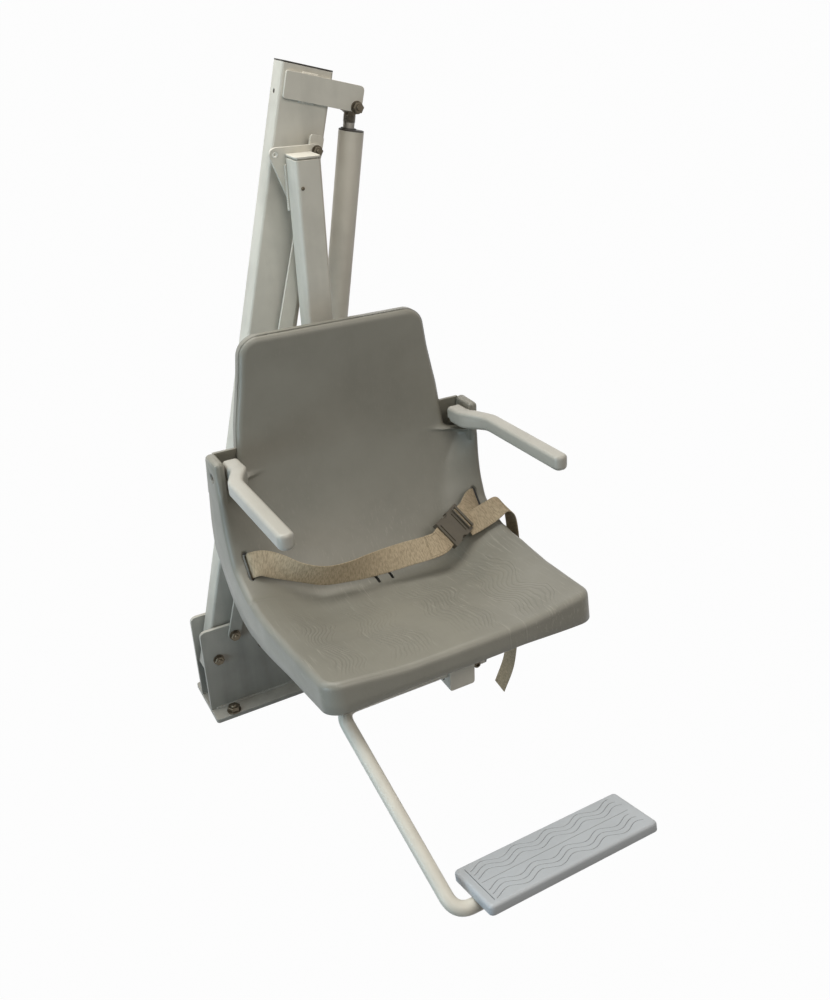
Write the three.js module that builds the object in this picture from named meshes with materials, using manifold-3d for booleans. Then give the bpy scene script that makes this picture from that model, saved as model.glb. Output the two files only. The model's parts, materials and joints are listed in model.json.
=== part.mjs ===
// Pool patient lift: a tilting mast on a deck base, a seat that stays level while the mast swings
// over the water, a linear actuator, fold-up arms, a lap belt and a swinging footrest.
// Lengths are millimetres and angles degrees. X runs across the seat, +X over the deck and -X over
// the pool, the seat faces -Y and +Z is up. The origin lies on the deck under the mast's pivot.
import * as THREE from 'three';
import { mergeVertices } from 'three/addons/utils/BufferGeometryUtils.js';
import Module from 'manifold-3d';

const wasm = await Module();
wasm.setup();

const { cos, sin, tan, atan2, hypot, sqrt, PI } = Math;
const degree = PI / 180;

// General clearances and faceting
const seatingGap = 0.3; // between pieces that bear on each other
const runningGap = 0.3; // round a turning pin
const overrun = 2; // of a cut past the face it opens
const roundSides = 24;
const boltSides = 12;
const hexSides = 6;
const cornerAngle = 30 * degree;
const curveFaces = 6;

// Fasteners
const boltRadius = 6;
const boltAcross = 19;
const boltHead = 7.5;
const boltTip = 3;
const washerRadius = 12;
const washerThickness = 2.5;
const anchorRadius = 8;
const anchorAcross = 24;
const anchorHead = 10;
const anchorWasher = 13;
const screwRadius = 4;
const screwAcross = 13;
const screwHead = 5.3;
const screwWasher = 8;

// Deck base
const pivotHeight = 138;
const baseLeft = 32;
const baseRight = 300;
const baseHalf = 76;
const baseThickness = 10;
const baseCorner = 6;
const anchorInset = 42.7;
const anchorOffset = 62.5;
const sideThickness = 8;
const sideClearance = 6;
const sideTop = 216;
const sideRight = 282;
const sideCorner = 12;
const sideBlend = 20;
const earRadius = 28;
const webThickness = 8;
const webInset = 12;
const webTop = 172;
const stopAcross = 102;
const stopUp = 6;
const stopRadius = 18.6;

// Mast
const mastWidth = 100;
const mastDepth = 45;
const mastWall = 4;
const mastCorner = 5;
const mastInset = 21.4;
const mastBelow = 34;
const mastAbove = 1228;
const mastLean = 13.95;
const heelChamfer = 20;
const capThickness = 4;
const capDepth = 18;
const ventRadius = 4.5;
const ventDrop = 55;
const bushRadius = 10;
const carriageBushRadius = 14;
const carriagePinRadius = 9;
const carriageNutAcross = 27;
const carriageNutHeight = 12;
const carriageWasher = 17;

// Bracket that holds the rod end
const bracketLeft = 13.5;
const bracketRight = 142;
const bracketLow = 1165;
const bracketHigh = 1213;
const bracketCorner = 8;
const bracketToe = 14;
const rodPinAcross = 131.6;
const rodPinUp = 1174;

// Parallel link and its coupler plate
const carriagePivotUp = 1024;
const linkAcross = 40.5;
const linkUp = 54;
const linkWidth = 27;
const linkThickness = 6;
const linkClearance = 1.5;
const linkTab = 27;
const linkTabCorner = 6;
const linkBushRadius = 9;
const linkBushFlange = 11.5;
const linkBushLip = 1.2;
const couplerThickness = 6;
const couplerMargin = 12.5;
const couplerDrop = 91;
const couplerCorner = 12;
const spareBushRadius = 5.5;
const spareBushBore = 3;

// Seat post and beam
const seatAcross = 277;
const postWidth = 50;
const postWall = 4;
const postCorner = 5;
const postTop = 1180;
const postCapThickness = 6;
const postScrewRadius = 3.5;
const postScrewAcross = 20;
const postScrewHeight = 1125;
const beamLow = 347;
const beamFront = 623;
const beamCapThickness = 4;
const sidePlugRadius = 3.5;
const sidePlugBack = 599;
const sidePlugHeight = 366;
const cradleThickness = 5;
const cradleHalf = 100;
const cradleBack = 262;
const cradleFront = 560;
const seatBoltAcross = 80;
const seatBoltBack = 300;
const seatBoltFront = 530;
const bossRadius = 12;
const bossDepth = 22;

// Actuator
const footAcross = 240.5;
const footUp = 100;
const footRadius = 20;
const footHalf = 22;
const footNeck = 46;
const barrelRadius = 24.5;
const barrelBore = 20.5;
const barrelOffset = 6;
const barrelDrop = 47;
const collarHeight = 6;
const collarRadius = 24.8;
const rodRadius = 10.75;
const rodClearance = 0.5;
const rodStart = 500;
const rodEyeRadius = 15;
const rodEyeHalf = 14;

// Seat shell
const seatBackOut = 165;
const seatDepth = 485;
const seatLow = 408;
const seatHeight = 480;
const seatHalf = 276;
const seatWall = 5;
const seatRound = 12;
const backCorner = 34;
const panCorner = 30;
const panBulge = 8;
const shellColumns = 16;
const shellRows = 26;
const cornerRows = 4;
const roundRows = 3;
const profileShares = [
  [0, 1], [0.004, 0.827], [0.0124, 0.66], [0.031, 0.504], [0.066, 0.365], [0.1196, 0.233],
  [0.196, 0.108], [0.278, 0.027], [0.361, 0], [0.495, 0.0146], [0.68, 0.056], [0.841, 0.085],
  [1, 0.115],
];
// Share of the way from the back's top to the pan's front, then rim rise, skirt depth and half
// width as shares of the seat's half width, and where the dish starts across it.
const sectionShares = [
  [0, 0, 0.087, 0.667, 0.7], [0.0965, 0, 0.087, 0.707, 0.7], [0.1895, 0, 0.087, 0.764, 0.7],
  [0.2773, 0, 0.094, 0.795, 0.7], [0.3025, 0, 0.094, 0.797, 0.7], [0.3115, 0.145, 0.235, 1, 0.91],
  [0.341, 0.13, 0.268, 1, 0.84], [0.3862, 0.098, 0.32, 1, 0.72], [0.437, 0.065, 0.37, 1, 0.66],
  [0.4932, 0.045, 0.31, 1, 0.58], [0.5538, 0.123, 0.348, 1, 0.5], [0.6065, 0.167, 0.304, 1, 0.46],
  [0.6338, 0.17, 0.275, 1, 0.45], [0.7099, 0.138, 0.239, 1, 0.42], [0.817, 0.0725, 0.21, 0.978, 0.4],
  [0.9712, 0.036, 0.2065, 0.9565, 0.4], [1, 0.033, 0.203, 0.9457, 0.4],
];
const slotInset = 27.5;
const slotOutShare = 0.19485;
const slotUpShare = 0.15938;
const slotLean = 48.5;
const slotLength = 56;
const slotWidth = 10;
const slotDepth = 26;
const drainAcross = 14.6;
const drainBack = 317.5;
const drainLength = 26;
const drainWidth = 6;

// Arms and the pockets that carry them
const armPivotOutShare = 0.066;
const armPivotUpShare = 0.50417;
const armRootInset = 55;
const armRootWidth = 32;
const armReach = 348;
const armHeel = 9;
const armWidth = 29;
const armBendStart = 46;
const armBendEnd = 113;
const armTopUp = 31;
const armDepth = 29;
const armRootDrop = 5;
const armRootUp = 27;
const armRiseStart = 26;
const armFillet = 30;
const armTilt = 3;
const armEnd = 9;
const armPinRadius = 5;
const armPinHead = 8;
const armPinSink = 4;
const earWidth = 20.5;
const earAhead = 26;
const earAbove = 36;
const earBehindTop = 34;
const earBehindLow = 49;
const earBelow = 54;
const earCorner = 9;
const pocketWall = 7;
const pocketAbove = 34;
const pocketBehindTop = 30;
const pocketBehindLow = 43;
const pocketBelow = 22;
const pocketInset = 64;

// Footrest
const tubeRadius = 12;
const tubeBore = 9.5;
const tubeBend = 30;
const tubeSteps = 40;
const tubeSides = 12;
const footPivotInset = 20;
const footPivotRise = 33;
const tubeRight = 52;
const tubeLeft = 225;
const tubeLowLeft = 191;
const tubeLowRight = 120;
const tubeLowBack = 925;
const tubeLowHeight = 202.7;
const plugLip = 2.5;
const plugDepth = 8;
const tubeHoleGap = 0.5;
const stopBoltAcross = 33;
const boardWidth = 320;
const boardDepth = 117;
const boardThickness = 18;
const boardCorner = 7;
const boardTilt = 15;
const boardScrewSpread = 95;
const boardScrewDepth = 10;

// Lap belt: routes are points of the strap's middle, as shares of the seat's half width, depth and
// height, each with the lean of its width in degrees
const beltWidth = 48;
const beltThickness = 1.8;
const beltStep = 11;
const beltTuck = 14;
const beltLift = 9;
const beltLead = 24;
const leftRouteShares = [
  [-0.82, 0.225, 0.178, 40], [-0.73, 0.2505, 0.1605, 20], [-0.6, 0.293, 0.13, -10],
  [-0.4493, 0.3258, 0.1042, -12], [-0.2754, 0.3371, 0.0958, -6], [-0.087, 0.3433, 0.0979, 16],
  [0.1159, 0.3536, 0.1062, 36],
];
const rightRouteShares = [
  [0.84, 0.225, 0.18, 44],
];
const tailRouteShares = [
  [0.78, 0.2624, 0.1759, 46], [0.9058, 0.2597, 0.1975, 57], [1.0072, 0.2701, 0.2021, 76],
  [1.0688, 0.2887, 0.1521, 88], [1.0942, 0.3072, 0.0479, 90], [1.0978, 0.3196, -0.1208, 90],
  [1.0906, 0.3237, -0.3292, 90], [1.0761, 0.3278, -0.5167, 90], [1.0435, 0.3299, -0.6625, 90],
  [0.9783, 0.3299, -0.7875, 90],
];
const buckleShares = [0.558, 0.3175, 0.1333];
const buckleTurn = 29;
const buckleRise = 9;
const buckleLean = 47.5;
const buckleLength = 52;
const buckleWidth = 62;
const buckleDepth = 14;
const buckleWall = 2.5;
const buckleWindow = 26;
const tongueFrame = 24;
const tongueBar = 6;
const prongLength = 34;
const prongWidth = 9;
const prongDepth = 6;
const tongueTravel = 13;

// Colours and finishes
const powderCoat = { color: 0xd8d4ca, roughness: 0.55, metalness: 0 };
const seatPlastic = { color: 0x8e9595, roughness: 0.5, metalness: 0 };
const armPlastic = { color: 0xb9b9b4, roughness: 0.5, metalness: 0 };
const padPlastic = { color: 0xaab0b4, roughness: 0.55, metalness: 0 };
const stainless = { color: 0x8a857c, roughness: 0.35, metalness: 1 };
const darkSteel = { color: 0x55534f, roughness: 0.45, metalness: 1 };
const blackPlastic = { color: 0x3c3a36, roughness: 0.5, metalness: 0 };
const bucklePlastic = { color: 0x554f43, roughness: 0.5, metalness: 0 };
const webbing = { color: 0x7a6f5a, roughness: 0.9, metalness: 0 };
const rubberFinish = { color: 0x3a3833, roughness: 0.85, metalness: 0 };
const paleNylon = { color: 0xdedcd2, roughness: 0.6, metalness: 0 };

// Derived places
const armPivotBack = seatBackOut + armPivotOutShare * seatDepth;
const armPivotHeight = seatLow + armPivotUpShare * seatHeight;
const armRoot = seatHalf - armRootInset;
const armTip = seatHalf - armWidth;
const earInner = seatHalf - earWidth;
const pocketInner = seatHalf - pocketInset;
const slotAcross = seatHalf - slotInset;
const slotBack = seatBackOut + slotOutShare * seatDepth;
const slotHeight = seatLow + slotUpShare * seatHeight;
const footPivotBack = beamFront - footPivotInset;
const footPivotHeight = beamLow + footPivotRise;
const mastFront = mastDepth / 2;
const plateInner = mastFront + sideClearance;
const plateOuter = plateInner + sideThickness;
const linkBack = plateOuter + linkClearance;
const linkFront = linkBack + linkThickness;
const couplerBack = linkFront + linkClearance;
const couplerFront = couplerBack + couplerThickness;
const postBack = couplerFront + seatingGap;
const postFront = postBack + postWidth;
const mastAxis = mastWidth / 2 - mastInset;
const lean = mastLean * degree;
const carriagePivot = {
  x: mastAxis * cos(lean) + carriagePivotUp * sin(lean),
  z: pivotHeight + carriagePivotUp * cos(lean) - mastAxis * sin(lean),
};
const rodPin = {
  x: rodPinAcross * cos(lean) + rodPinUp * sin(lean),
  z: pivotHeight + rodPinUp * cos(lean) - rodPinAcross * sin(lean),
};
const linkLength = hypot(carriagePivot.x, carriagePivot.z - pivotHeight);
const linkLean = atan2(carriagePivot.x, carriagePivot.z - pivotHeight);
const footHeight = pivotHeight + footUp;
const actuatorLength = hypot(rodPin.x - footAcross, rodPin.z - footHeight);
const actuatorLean = atan2(rodPin.x - footAcross, rodPin.z - footHeight);

// Shapes: a polygon whose corners are [x, y, radius]
function outline(corners) {
  const count = corners.length;
  return new THREE.Shape(corners.flatMap(([x, y, radius = 0], i) => {
    const here = new THREE.Vector2(x, y);
    if (radius === 0) return [here];
    const back = new THREE.Vector2(...corners[(i + count - 1) % count].slice(0, 2)).sub(here).normalize();
    const ahead = new THREE.Vector2(...corners[(i + 1) % count].slice(0, 2)).sub(here).normalize();
    const half = Math.acos(back.dot(ahead)) / 2;
    const middle = back.clone().add(ahead).normalize();
    const centre = here.clone().addScaledVector(middle, radius / sin(half));
    const turn = (PI - 2 * half) * Math.sign(back.cross(ahead));
    const steps = Math.max(2, Math.ceil(Math.abs(turn) / cornerAngle));
    const toStart = here.clone().addScaledVector(back, radius / tan(half)).sub(centre);
    return Array.from({ length: steps + 1 }, (_, k) => toStart.clone()
      .rotateAround(new THREE.Vector2(), -turn * k / steps).add(centre));
  }));
}

function rectangle(x0, y0, x1, y1, radius = 0) {
  return outline([[x0, y0, radius], [x1, y0, radius], [x1, y1, radius], [x0, y1, radius]]);
}

function pierced(shape, hole) {
  shape.holes.push(hole);
  return shape;
}

// Plates: a shape extruded between two planes across Z, Y or X
function extrude(shape, depth) {
  return new THREE.ExtrudeGeometry(shape, { depth, bevelEnabled: false, curveSegments: curveFaces });
}

function plateZ(shape, z0, z1) {
  return extrude(shape, z1 - z0).translate(0, 0, z0);
}

function plateY(shape, y0, y1) {
  return extrude(shape, y1 - y0).rotateX(PI / 2).translate(0, y1, 0);
}

function plateX(shape, x0, x1) {
  return extrude(shape, x1 - x0).rotateX(PI / 2).rotateZ(PI / 2).translate(x0, 0, 0);
}

function block(x0, y0, z0, x1, y1, z1) {
  const box = new THREE.BoxGeometry(x1 - x0, y1 - y0, z1 - z0);
  return box.translate((x0 + x1) / 2, (y0 + y1) / 2, (z0 + z1) / 2);
}

// Round bars between two planes
function barX(y, z, radius, x0, x1, sides = roundSides) {
  const bar = new THREE.CylinderGeometry(radius, radius, x1 - x0, sides);
  return bar.rotateZ(-PI / 2).translate((x0 + x1) / 2, y, z);
}

function barY(x, z, radius, y0, y1, sides = roundSides) {
  return new THREE.CylinderGeometry(radius, radius, y1 - y0, sides).translate(x, (y0 + y1) / 2, z);
}

function barZ(x, y, radius, z0, z1, sides = roundSides) {
  const bar = new THREE.CylinderGeometry(radius, radius, z1 - z0, sides);
  return bar.rotateX(PI / 2).translate(x, y, (z0 + z1) / 2);
}

// Solids: joining and cutting of closed meshes
function toSolid(geometry) {
  const bare = geometry.clone();
  bare.deleteAttribute('normal');
  bare.deleteAttribute('uv');
  const merged = mergeVertices(bare);
  return new wasm.Manifold(new wasm.Mesh({
    numProp: 3,
    vertProperties: new Float32Array(merged.attributes.position.array),
    triVerts: new Uint32Array(merged.index.array),
  }));
}

function toGeometry(solid) {
  const mesh = solid.getMesh();
  const geometry = new THREE.BufferGeometry();
  geometry.setAttribute('position', new THREE.BufferAttribute(mesh.vertProperties, mesh.numProp));
  geometry.setIndex(new THREE.BufferAttribute(mesh.triVerts, 1));
  geometry.computeVertexNormals();
  return geometry;
}

function join(...pieces) {
  return toGeometry(pieces.map(toSolid).reduce((sum, next) => sum.add(next)));
}

function cut(piece, ...tools) {
  return toGeometry(tools.map(toSolid).reduce((rest, tool) => rest.subtract(tool), toSolid(piece)));
}

function common(piece, other) {
  return toGeometry(toSolid(piece).intersect(toSolid(other)));
}

// Corner radius of a hexagon of a width across its flats
function hexRadius(across) {
  return across / 2 / cos(PI / hexSides);
}

// A hexagon bolt along Y: its washer bears on the plane y = face and its head points to -Y
function boltY(x, z, face, end, size = {}) {
  const radius = size.radius ?? boltRadius;
  const across = size.across ?? boltAcross;
  const head = size.head ?? boltHead;
  const washer = size.washer ?? washerRadius;
  const seat = face - seatingGap;
  const top = seat - washerThickness;
  return join(
    barY(x, z, washer, top, seat, boltSides),
    barY(x, z, hexRadius(across), top - head, top + washerThickness / 2, hexSides),
    barY(x, z, radius, top - head - boltTip, end, boltSides),
  );
}

// A nut and washer on a pin along Y: the washer bears on the plane y = face, the nut points to +Y
// and the pin runs from y = start to just past it
function nutY(x, z, face, start, size = {}) {
  const radius = size.radius ?? boltRadius;
  const across = size.across ?? boltAcross;
  const head = size.head ?? boltHead;
  const washer = size.washer ?? washerRadius;
  const seat = face + seatingGap;
  const top = seat + washerThickness;
  return join(
    barY(x, z, washer, seat, top, boltSides),
    barY(x, z, hexRadius(across), top - washerThickness / 2, top + head, hexSides),
    barY(x, z, radius, start, top + head + boltTip, boltSides),
  );
}

// A set bolt along Z: washer and head above the plane z = face, shank down to z = low
function anchorZ(x, y, face, low) {
  const top = face + seatingGap + washerThickness;
  return join(
    barZ(x, y, anchorWasher, face + seatingGap, top, boltSides),
    barZ(x, y, hexRadius(anchorAcross), top - washerThickness / 2, top + anchorHead, hexSides),
    barZ(x, y, anchorRadius, low, top + anchorHead + boltTip, boltSides),
  );
}

// A screw along Z from below: head under the plane z = face, shank up to z = high
function screwZ(x, y, face, high) {
  const top = face - seatingGap;
  return join(
    barZ(x, y, screwWasher, top - washerThickness / 2, top, boltSides),
    barZ(x, y, hexRadius(screwAcross), top - washerThickness / 2 - screwHead, top, hexSides),
    barZ(x, y, screwRadius, top - screwHead, high, boltSides),
  );
}

function addPart(parent, name, geometry, finish) {
  const mesh = new THREE.Mesh(geometry, new THREE.MeshStandardMaterial(finish));
  mesh.name = name;
  parent.add(mesh);
}

function addGroup(parent, x, y, z) {
  const group = new THREE.Group();
  group.position.set(x, y, z);
  parent.add(group);
  return group;
}

// Deck base
const anchorPlaces = [-1, 1].flatMap((side) => [anchorInset - baseLeft, baseRight - anchorInset]
  .map((x) => [x, side * anchorOffset]));

function basePlate() {
  const plate = plateZ(rectangle(-baseLeft, -baseHalf, baseRight, baseHalf, baseCorner), 0, baseThickness);
  const holes = anchorPlaces.map(([x, y]) => barZ(x, y, anchorRadius + runningGap, -overrun,
    baseThickness + overrun, boltSides));
  return cut(plate, ...holes);
}

function sidePlate(side, ...holes) {
  const earLeft = footAcross - earRadius - sideClearance;
  const earHigh = footHeight + earRadius;
  const shape = outline([
    [-baseLeft, baseThickness], [sideRight, baseThickness], [sideRight, earHigh, earRadius],
    [earLeft, earHigh, earRadius], [earLeft - (earHigh - sideTop), sideTop, sideBlend],
    [-baseLeft, sideTop, sideCorner],
  ]);
  const faces = [side * plateInner, side * plateOuter].sort((a, b) => a - b);
  const cuts = holes.map(([x, z]) => barY(x, z, boltRadius + runningGap, faces[0] - overrun,
    faces[1] + overrun, boltSides));
  return cut(plateY(shape, ...faces), ...cuts);
}

const mastHole = [0, pivotHeight];
const linkHole = [linkAcross, pivotHeight + linkUp];
const stopHole = [stopAcross, pivotHeight + stopUp];
const footHole = [footAcross, footHeight];

function baseWeb() {
  const right = sideRight - webInset;
  const half = plateInner - seatingGap;
  return block(right - webThickness, -half, baseThickness, right, half, webTop);
}

function stopSleeve() {
  const half = plateInner - seatingGap;
  return cut(barY(...stopHole, stopRadius, -half, half),
    barY(...stopHole, boltRadius + runningGap, -half - overrun, half + overrun, boltSides));
}

// A bolt through both side plates with its nut
function throughBolt([x, z]) {
  return join(boltY(x, z, -plateOuter, 0), nutY(x, z, plateOuter, -overrun));
}

function buildBase(parent) {
  addPart(parent, 'base_plate', basePlate(), powderCoat);
  addPart(parent, 'side_plate_near', sidePlate(-1, mastHole, linkHole, stopHole, footHole), powderCoat);
  addPart(parent, 'side_plate_far', sidePlate(1, mastHole, stopHole, footHole), powderCoat);
  addPart(parent, 'base_web', baseWeb(), powderCoat);
  anchorPlaces.forEach(([x, y], i) => {
    addPart(parent, `anchor_bolt_${i + 1}`, anchorZ(x, y, baseThickness, seatingGap), stainless);
  });
  addPart(parent, 'mast_pivot_bolt', throughBolt(mastHole), stainless);
  addPart(parent, 'stop_bolt', throughBolt(stopHole), stainless);
  addPart(parent, 'stop_sleeve', stopSleeve(), rubberFinish);
  addPart(parent, 'link_pivot_bolt', boltY(...linkHole, -linkFront, -plateInner), stainless);
  addPart(parent, 'foot_pivot_bolt', throughBolt(footHole), stainless);
}

// Mast, in its own frame: X across its wide face, Z up its length, origin on its pivot
const mastLeft = -mastInset;
const mastRight = mastWidth - mastInset;

function mastTube() {
  const half = mastFront;
  const section = pierced(
    rectangle(mastLeft, -half, mastRight, half, mastCorner),
    rectangle(mastLeft + mastWall, mastWall - half, mastRight - mastWall, half - mastWall),
  );
  const tube = plateZ(section, -mastBelow, mastAbove - capThickness - seatingGap);
  const heel = plateY(outline([
    [mastRight + overrun, -mastBelow - overrun], [mastRight + overrun, heelChamfer - mastBelow + overrun],
    [mastRight - heelChamfer - overrun, -mastBelow - overrun],
  ]), -half - overrun, half + overrun);
  const reach = half + overrun;
  return cut(tube, heel,
    barY(0, 0, bushRadius + runningGap, -reach, reach),
    barY(mastAxis, carriagePivotUp, carriageBushRadius + runningGap, -reach, reach),
    barX(0, mastAbove - ventDrop, ventRadius, mastLeft - overrun, mastLeft + mastWall + overrun, boltSides));
}

function mastCap() {
  const half = mastFront;
  const inset = mastWall + seatingGap;
  return join(
    plateZ(rectangle(mastLeft, -half, mastRight, half, mastCorner), mastAbove - capThickness, mastAbove),
    block(mastLeft + inset, inset - half, mastAbove - capDepth, mastRight - inset, half - inset,
      mastAbove - capThickness / 2),
  );
}

function sleeveY(x, z, outer, inner, y0, y1) {
  return cut(barY(x, z, outer, y0, y1), barY(x, z, inner, y0 - overrun, y1 + overrun));
}

function rodBracket(side) {
  const faces = [side * (mastFront + seatingGap), side * (mastFront + seatingGap + linkThickness)];
  const [y0, y1] = faces.sort((a, b) => a - b);
  const shape = outline([
    [-bracketLeft, bracketLow, bracketCorner / 2], [bracketRight, bracketLow, bracketToe],
    [bracketRight, bracketHigh, bracketCorner], [-bracketLeft, bracketHigh, bracketCorner / 2],
  ]);
  return cut(plateY(shape, y0, y1),
    barY(rodPinAcross, rodPinUp, boltRadius + runningGap, y0 - overrun, y1 + overrun, boltSides));
}

function buildMast(parent) {
  const mast = addGroup(parent, 0, 0, pivotHeight);
  mast.rotation.y = lean;
  const bushHalf = plateInner - 2 * seatingGap;
  const bracketFace = mastFront + seatingGap + linkThickness;
  const bracketBack = mastFront + seatingGap;
  addPart(mast, 'mast_tube', mastTube(), powderCoat);
  addPart(mast, 'mast_cap', mastCap(), paleNylon);
  addPart(mast, 'mast_pivot_bush',
    sleeveY(0, 0, bushRadius, boltRadius + runningGap, -bushHalf, bushHalf), darkSteel);
  addPart(mast, 'carriage_bush', sleeveY(mastAxis, carriagePivotUp, carriageBushRadius,
    carriagePinRadius + runningGap, -bushHalf, bushHalf), darkSteel);
  addPart(mast, 'rod_bracket_near', rodBracket(-1), powderCoat);
  addPart(mast, 'rod_bracket_far', rodBracket(1), powderCoat);
  addPart(mast, 'rod_bolt', boltY(rodPinAcross, rodPinUp, -bracketFace, -bracketBack), stainless);
  addPart(mast, 'rod_bolt_nut', nutY(rodPinAcross, rodPinUp, bracketFace, bracketBack), stainless);
}

// Parallel link, in its own frame: X across, Z along it, origin on its lower pivot
function linkBar() {
  const half = linkWidth / 2;
  const bar = plateY(outline([
    [-half, -half, half - seatingGap], [half, -half, half - seatingGap],
    [half, linkLength + linkTab, linkTabCorner], [-half, linkLength + linkTab, linkTabCorner],
  ]), -linkFront, -linkBack);
  const holes = [0, linkLength].map((z) => barY(0, z, linkBushRadius + runningGap,
    -linkFront - overrun, -linkBack + overrun));
  return cut(bar, ...holes);
}

function linkBush(z, sleeveFront, sleeveBack, lipFront, lipBack) {
  const sleeve = join(
    barY(0, z, linkBushRadius, sleeveFront, sleeveBack),
    barY(0, z, linkBushFlange, lipFront, lipBack),
  );
  return cut(sleeve, barY(0, z, boltRadius + runningGap, -couplerBack, -plateOuter, boltSides));
}

function buildLink(parent) {
  const link = addGroup(parent, linkAcross, 0, pivotHeight + linkUp);
  link.rotation.y = linkLean;
  addPart(link, 'link_bar', linkBar(), powderCoat);
  const lipBack = linkBushLip - linkBack;
  const lipFront = -linkFront - linkBushLip;
  addPart(link, 'link_bush_lower',
    linkBush(0, -linkFront, lipBack, seatingGap / 2 - linkBack, lipBack), paleNylon);
  addPart(link, 'link_bush_upper',
    linkBush(linkLength, lipFront, -linkBack, lipFront, -linkFront - seatingGap / 2), paleNylon);
}

// Actuator, in its own frame: Z from the foot pivot towards the rod pin
function actuatorFoot() {
  const low = footNeck - footRadius;
  return cut(join(
    barY(0, 0, footRadius, -footHalf, footHalf),
    barZ(barrelOffset, 0, barrelRadius - overrun, low - footRadius, footNeck),
  ), barY(0, 0, boltRadius + runningGap, -footHalf - overrun, footHalf + overrun, boltSides));
}

function barrel() {
  const low = footNeck + seatingGap;
  const high = actuatorLength - barrelDrop;
  return cut(barZ(barrelOffset, 0, barrelRadius, low, high),
    barZ(barrelOffset, 0, barrelBore, low + barrelRadius - barrelBore, high + overrun));
}

function barrelCollar() {
  const low = actuatorLength - barrelDrop + seatingGap;
  return cut(barZ(barrelOffset, 0, collarRadius, low, low + collarHeight),
    barZ(0, 0, rodRadius + rodClearance, low - overrun, low + collarHeight + overrun));
}

function rodEye() {
  const pinHalf = mastFront - seatingGap;
  const neckLow = actuatorLength - rodEyeRadius - rodRadius;
  return join(
    barY(0, actuatorLength, rodEyeRadius, -rodEyeHalf, rodEyeHalf),
    barZ(0, 0, rodRadius + rodClearance, neckLow, actuatorLength - rodRadius),
    barY(0, actuatorLength, boltRadius, -pinHalf, pinHalf, boltSides),
  );
}

function buildActuator(parent) {
  const actuator = addGroup(parent, footAcross, 0, footHeight);
  actuator.rotation.y = actuatorLean;
  addPart(actuator, 'actuator_foot', actuatorFoot(), darkSteel);
  addPart(actuator, 'actuator_barrel', barrel(), powderCoat);
  addPart(actuator, 'actuator_collar', barrelCollar(), darkSteel);
  addPart(actuator, 'actuator_rod', barZ(0, 0, rodRadius, rodStart,
    actuatorLength - rodEyeRadius - rodRadius - seatingGap), stainless);
  addPart(actuator, 'rod_eye', rodEye(), darkSteel);
}

// Coupler plate and pins, in a frame on the carriage pivot
function couplerPlate() {
  const top = linkUp + couplerMargin;
  const edge = hypot(linkAcross, couplerDrop + linkUp);
  const slope = linkAcross / (couplerDrop + linkUp);
  const widen = couplerMargin * edge / (couplerDrop + linkUp);
  const half = linkAcross + widen + couplerMargin * slope;
  const plate = plateY(outline([
    [0, -couplerDrop, couplerCorner], [half, top, couplerMargin], [-half, top, couplerMargin],
  ]), -couplerFront, -couplerBack);
  const through = [-couplerFront - overrun, overrun - couplerBack];
  return cut(plate,
    barY(0, 0, carriagePinRadius + runningGap, ...through),
    barY(linkAcross, linkUp, boltRadius + runningGap, ...through, boltSides),
    barY(-linkAcross, linkUp, spareBushRadius + runningGap, ...through));
}

const carriageNut = {
  radius: carriagePinRadius, across: carriageNutAcross, head: carriageNutHeight,
  washer: carriageWasher,
};

function buildCoupler(carriage) {
  const coupler = addGroup(carriage, carriagePivot.x - seatAcross, 0, carriagePivot.z);
  const bore = sleeveY(-linkAcross, linkUp, spareBushRadius, spareBushBore, -couplerFront, -couplerBack);
  addPart(coupler, 'coupler_plate', couplerPlate(), powderCoat);
  addPart(coupler, 'carriage_pin',
    nutY(0, 0, plateInner - seatingGap, seatingGap - couplerFront, carriageNut), stainless);
  addPart(coupler, 'spare_bush', bore, paleNylon);
  addPart(coupler, 'link_top_bolt', join(boltY(linkAcross, linkUp, -couplerFront, -linkBack),
    nutY(linkAcross, linkUp, -linkBack, -linkFront)), stainless);
}

// Post and beam, in the carriage frame: X from the seat's middle, heights above the deck
function squareTube(half, wall, corner) {
  return pierced(rectangle(-half, -half, half, half, corner),
    rectangle(wall - half, wall - half, half - wall, half - wall));
}

const postMiddle = postBack + postWidth / 2;
const beamMiddle = beamLow + postWidth / 2;
const postEnd = postTop - postCapThickness - seatingGap;

function seatPost() {
  const tube = plateZ(squareTube(postWidth / 2, postWall, postCorner), beamLow, postEnd);
  return cut(tube.translate(0, -postMiddle, 0), barY(postScrewAcross - postWidth / 2 - postScrewAcross / 2,
    postScrewHeight, postScrewRadius / 2 + runningGap, -postFront - overrun,
    postWall + overrun - postFront, boltSides));
}

function tubePlug(half, wall, lip, depth, corner) {
  const inner = half - wall - seatingGap;
  return join(plateZ(rectangle(-half, -half, half, half, corner), 0, lip),
    block(-inner, -inner, -depth, inner, inner, lip / 2));
}

function postScrew() {
  const x = postScrewAcross / 2 - postWidth / 2;
  const face = -postFront - seatingGap;
  return join(barY(x, postScrewHeight, postScrewRadius, face - screwRadius / 2, face, boltSides),
    barY(x, postScrewHeight, postScrewRadius / 2, face - screwRadius / 4, postWall - postFront, boltSides));
}

function seatBeam() {
  const section = squareTube(postWidth / 2, postWall, postCorner);
  const front = beamFront - beamCapThickness - seatingGap;
  const tube = plateZ(section, postFront + seatingGap, front).rotateX(PI / 2);
  const half = postWidth / 2 + overrun;
  return cut(tube.translate(0, 0, beamMiddle),
    barX(-footPivotBack, footPivotHeight, tubeRadius + tubeHoleGap, -half, half),
    barX(-sidePlugBack, sidePlugHeight - tubeRadius / 2, sidePlugRadius, -half, 0, boltSides));
}

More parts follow.
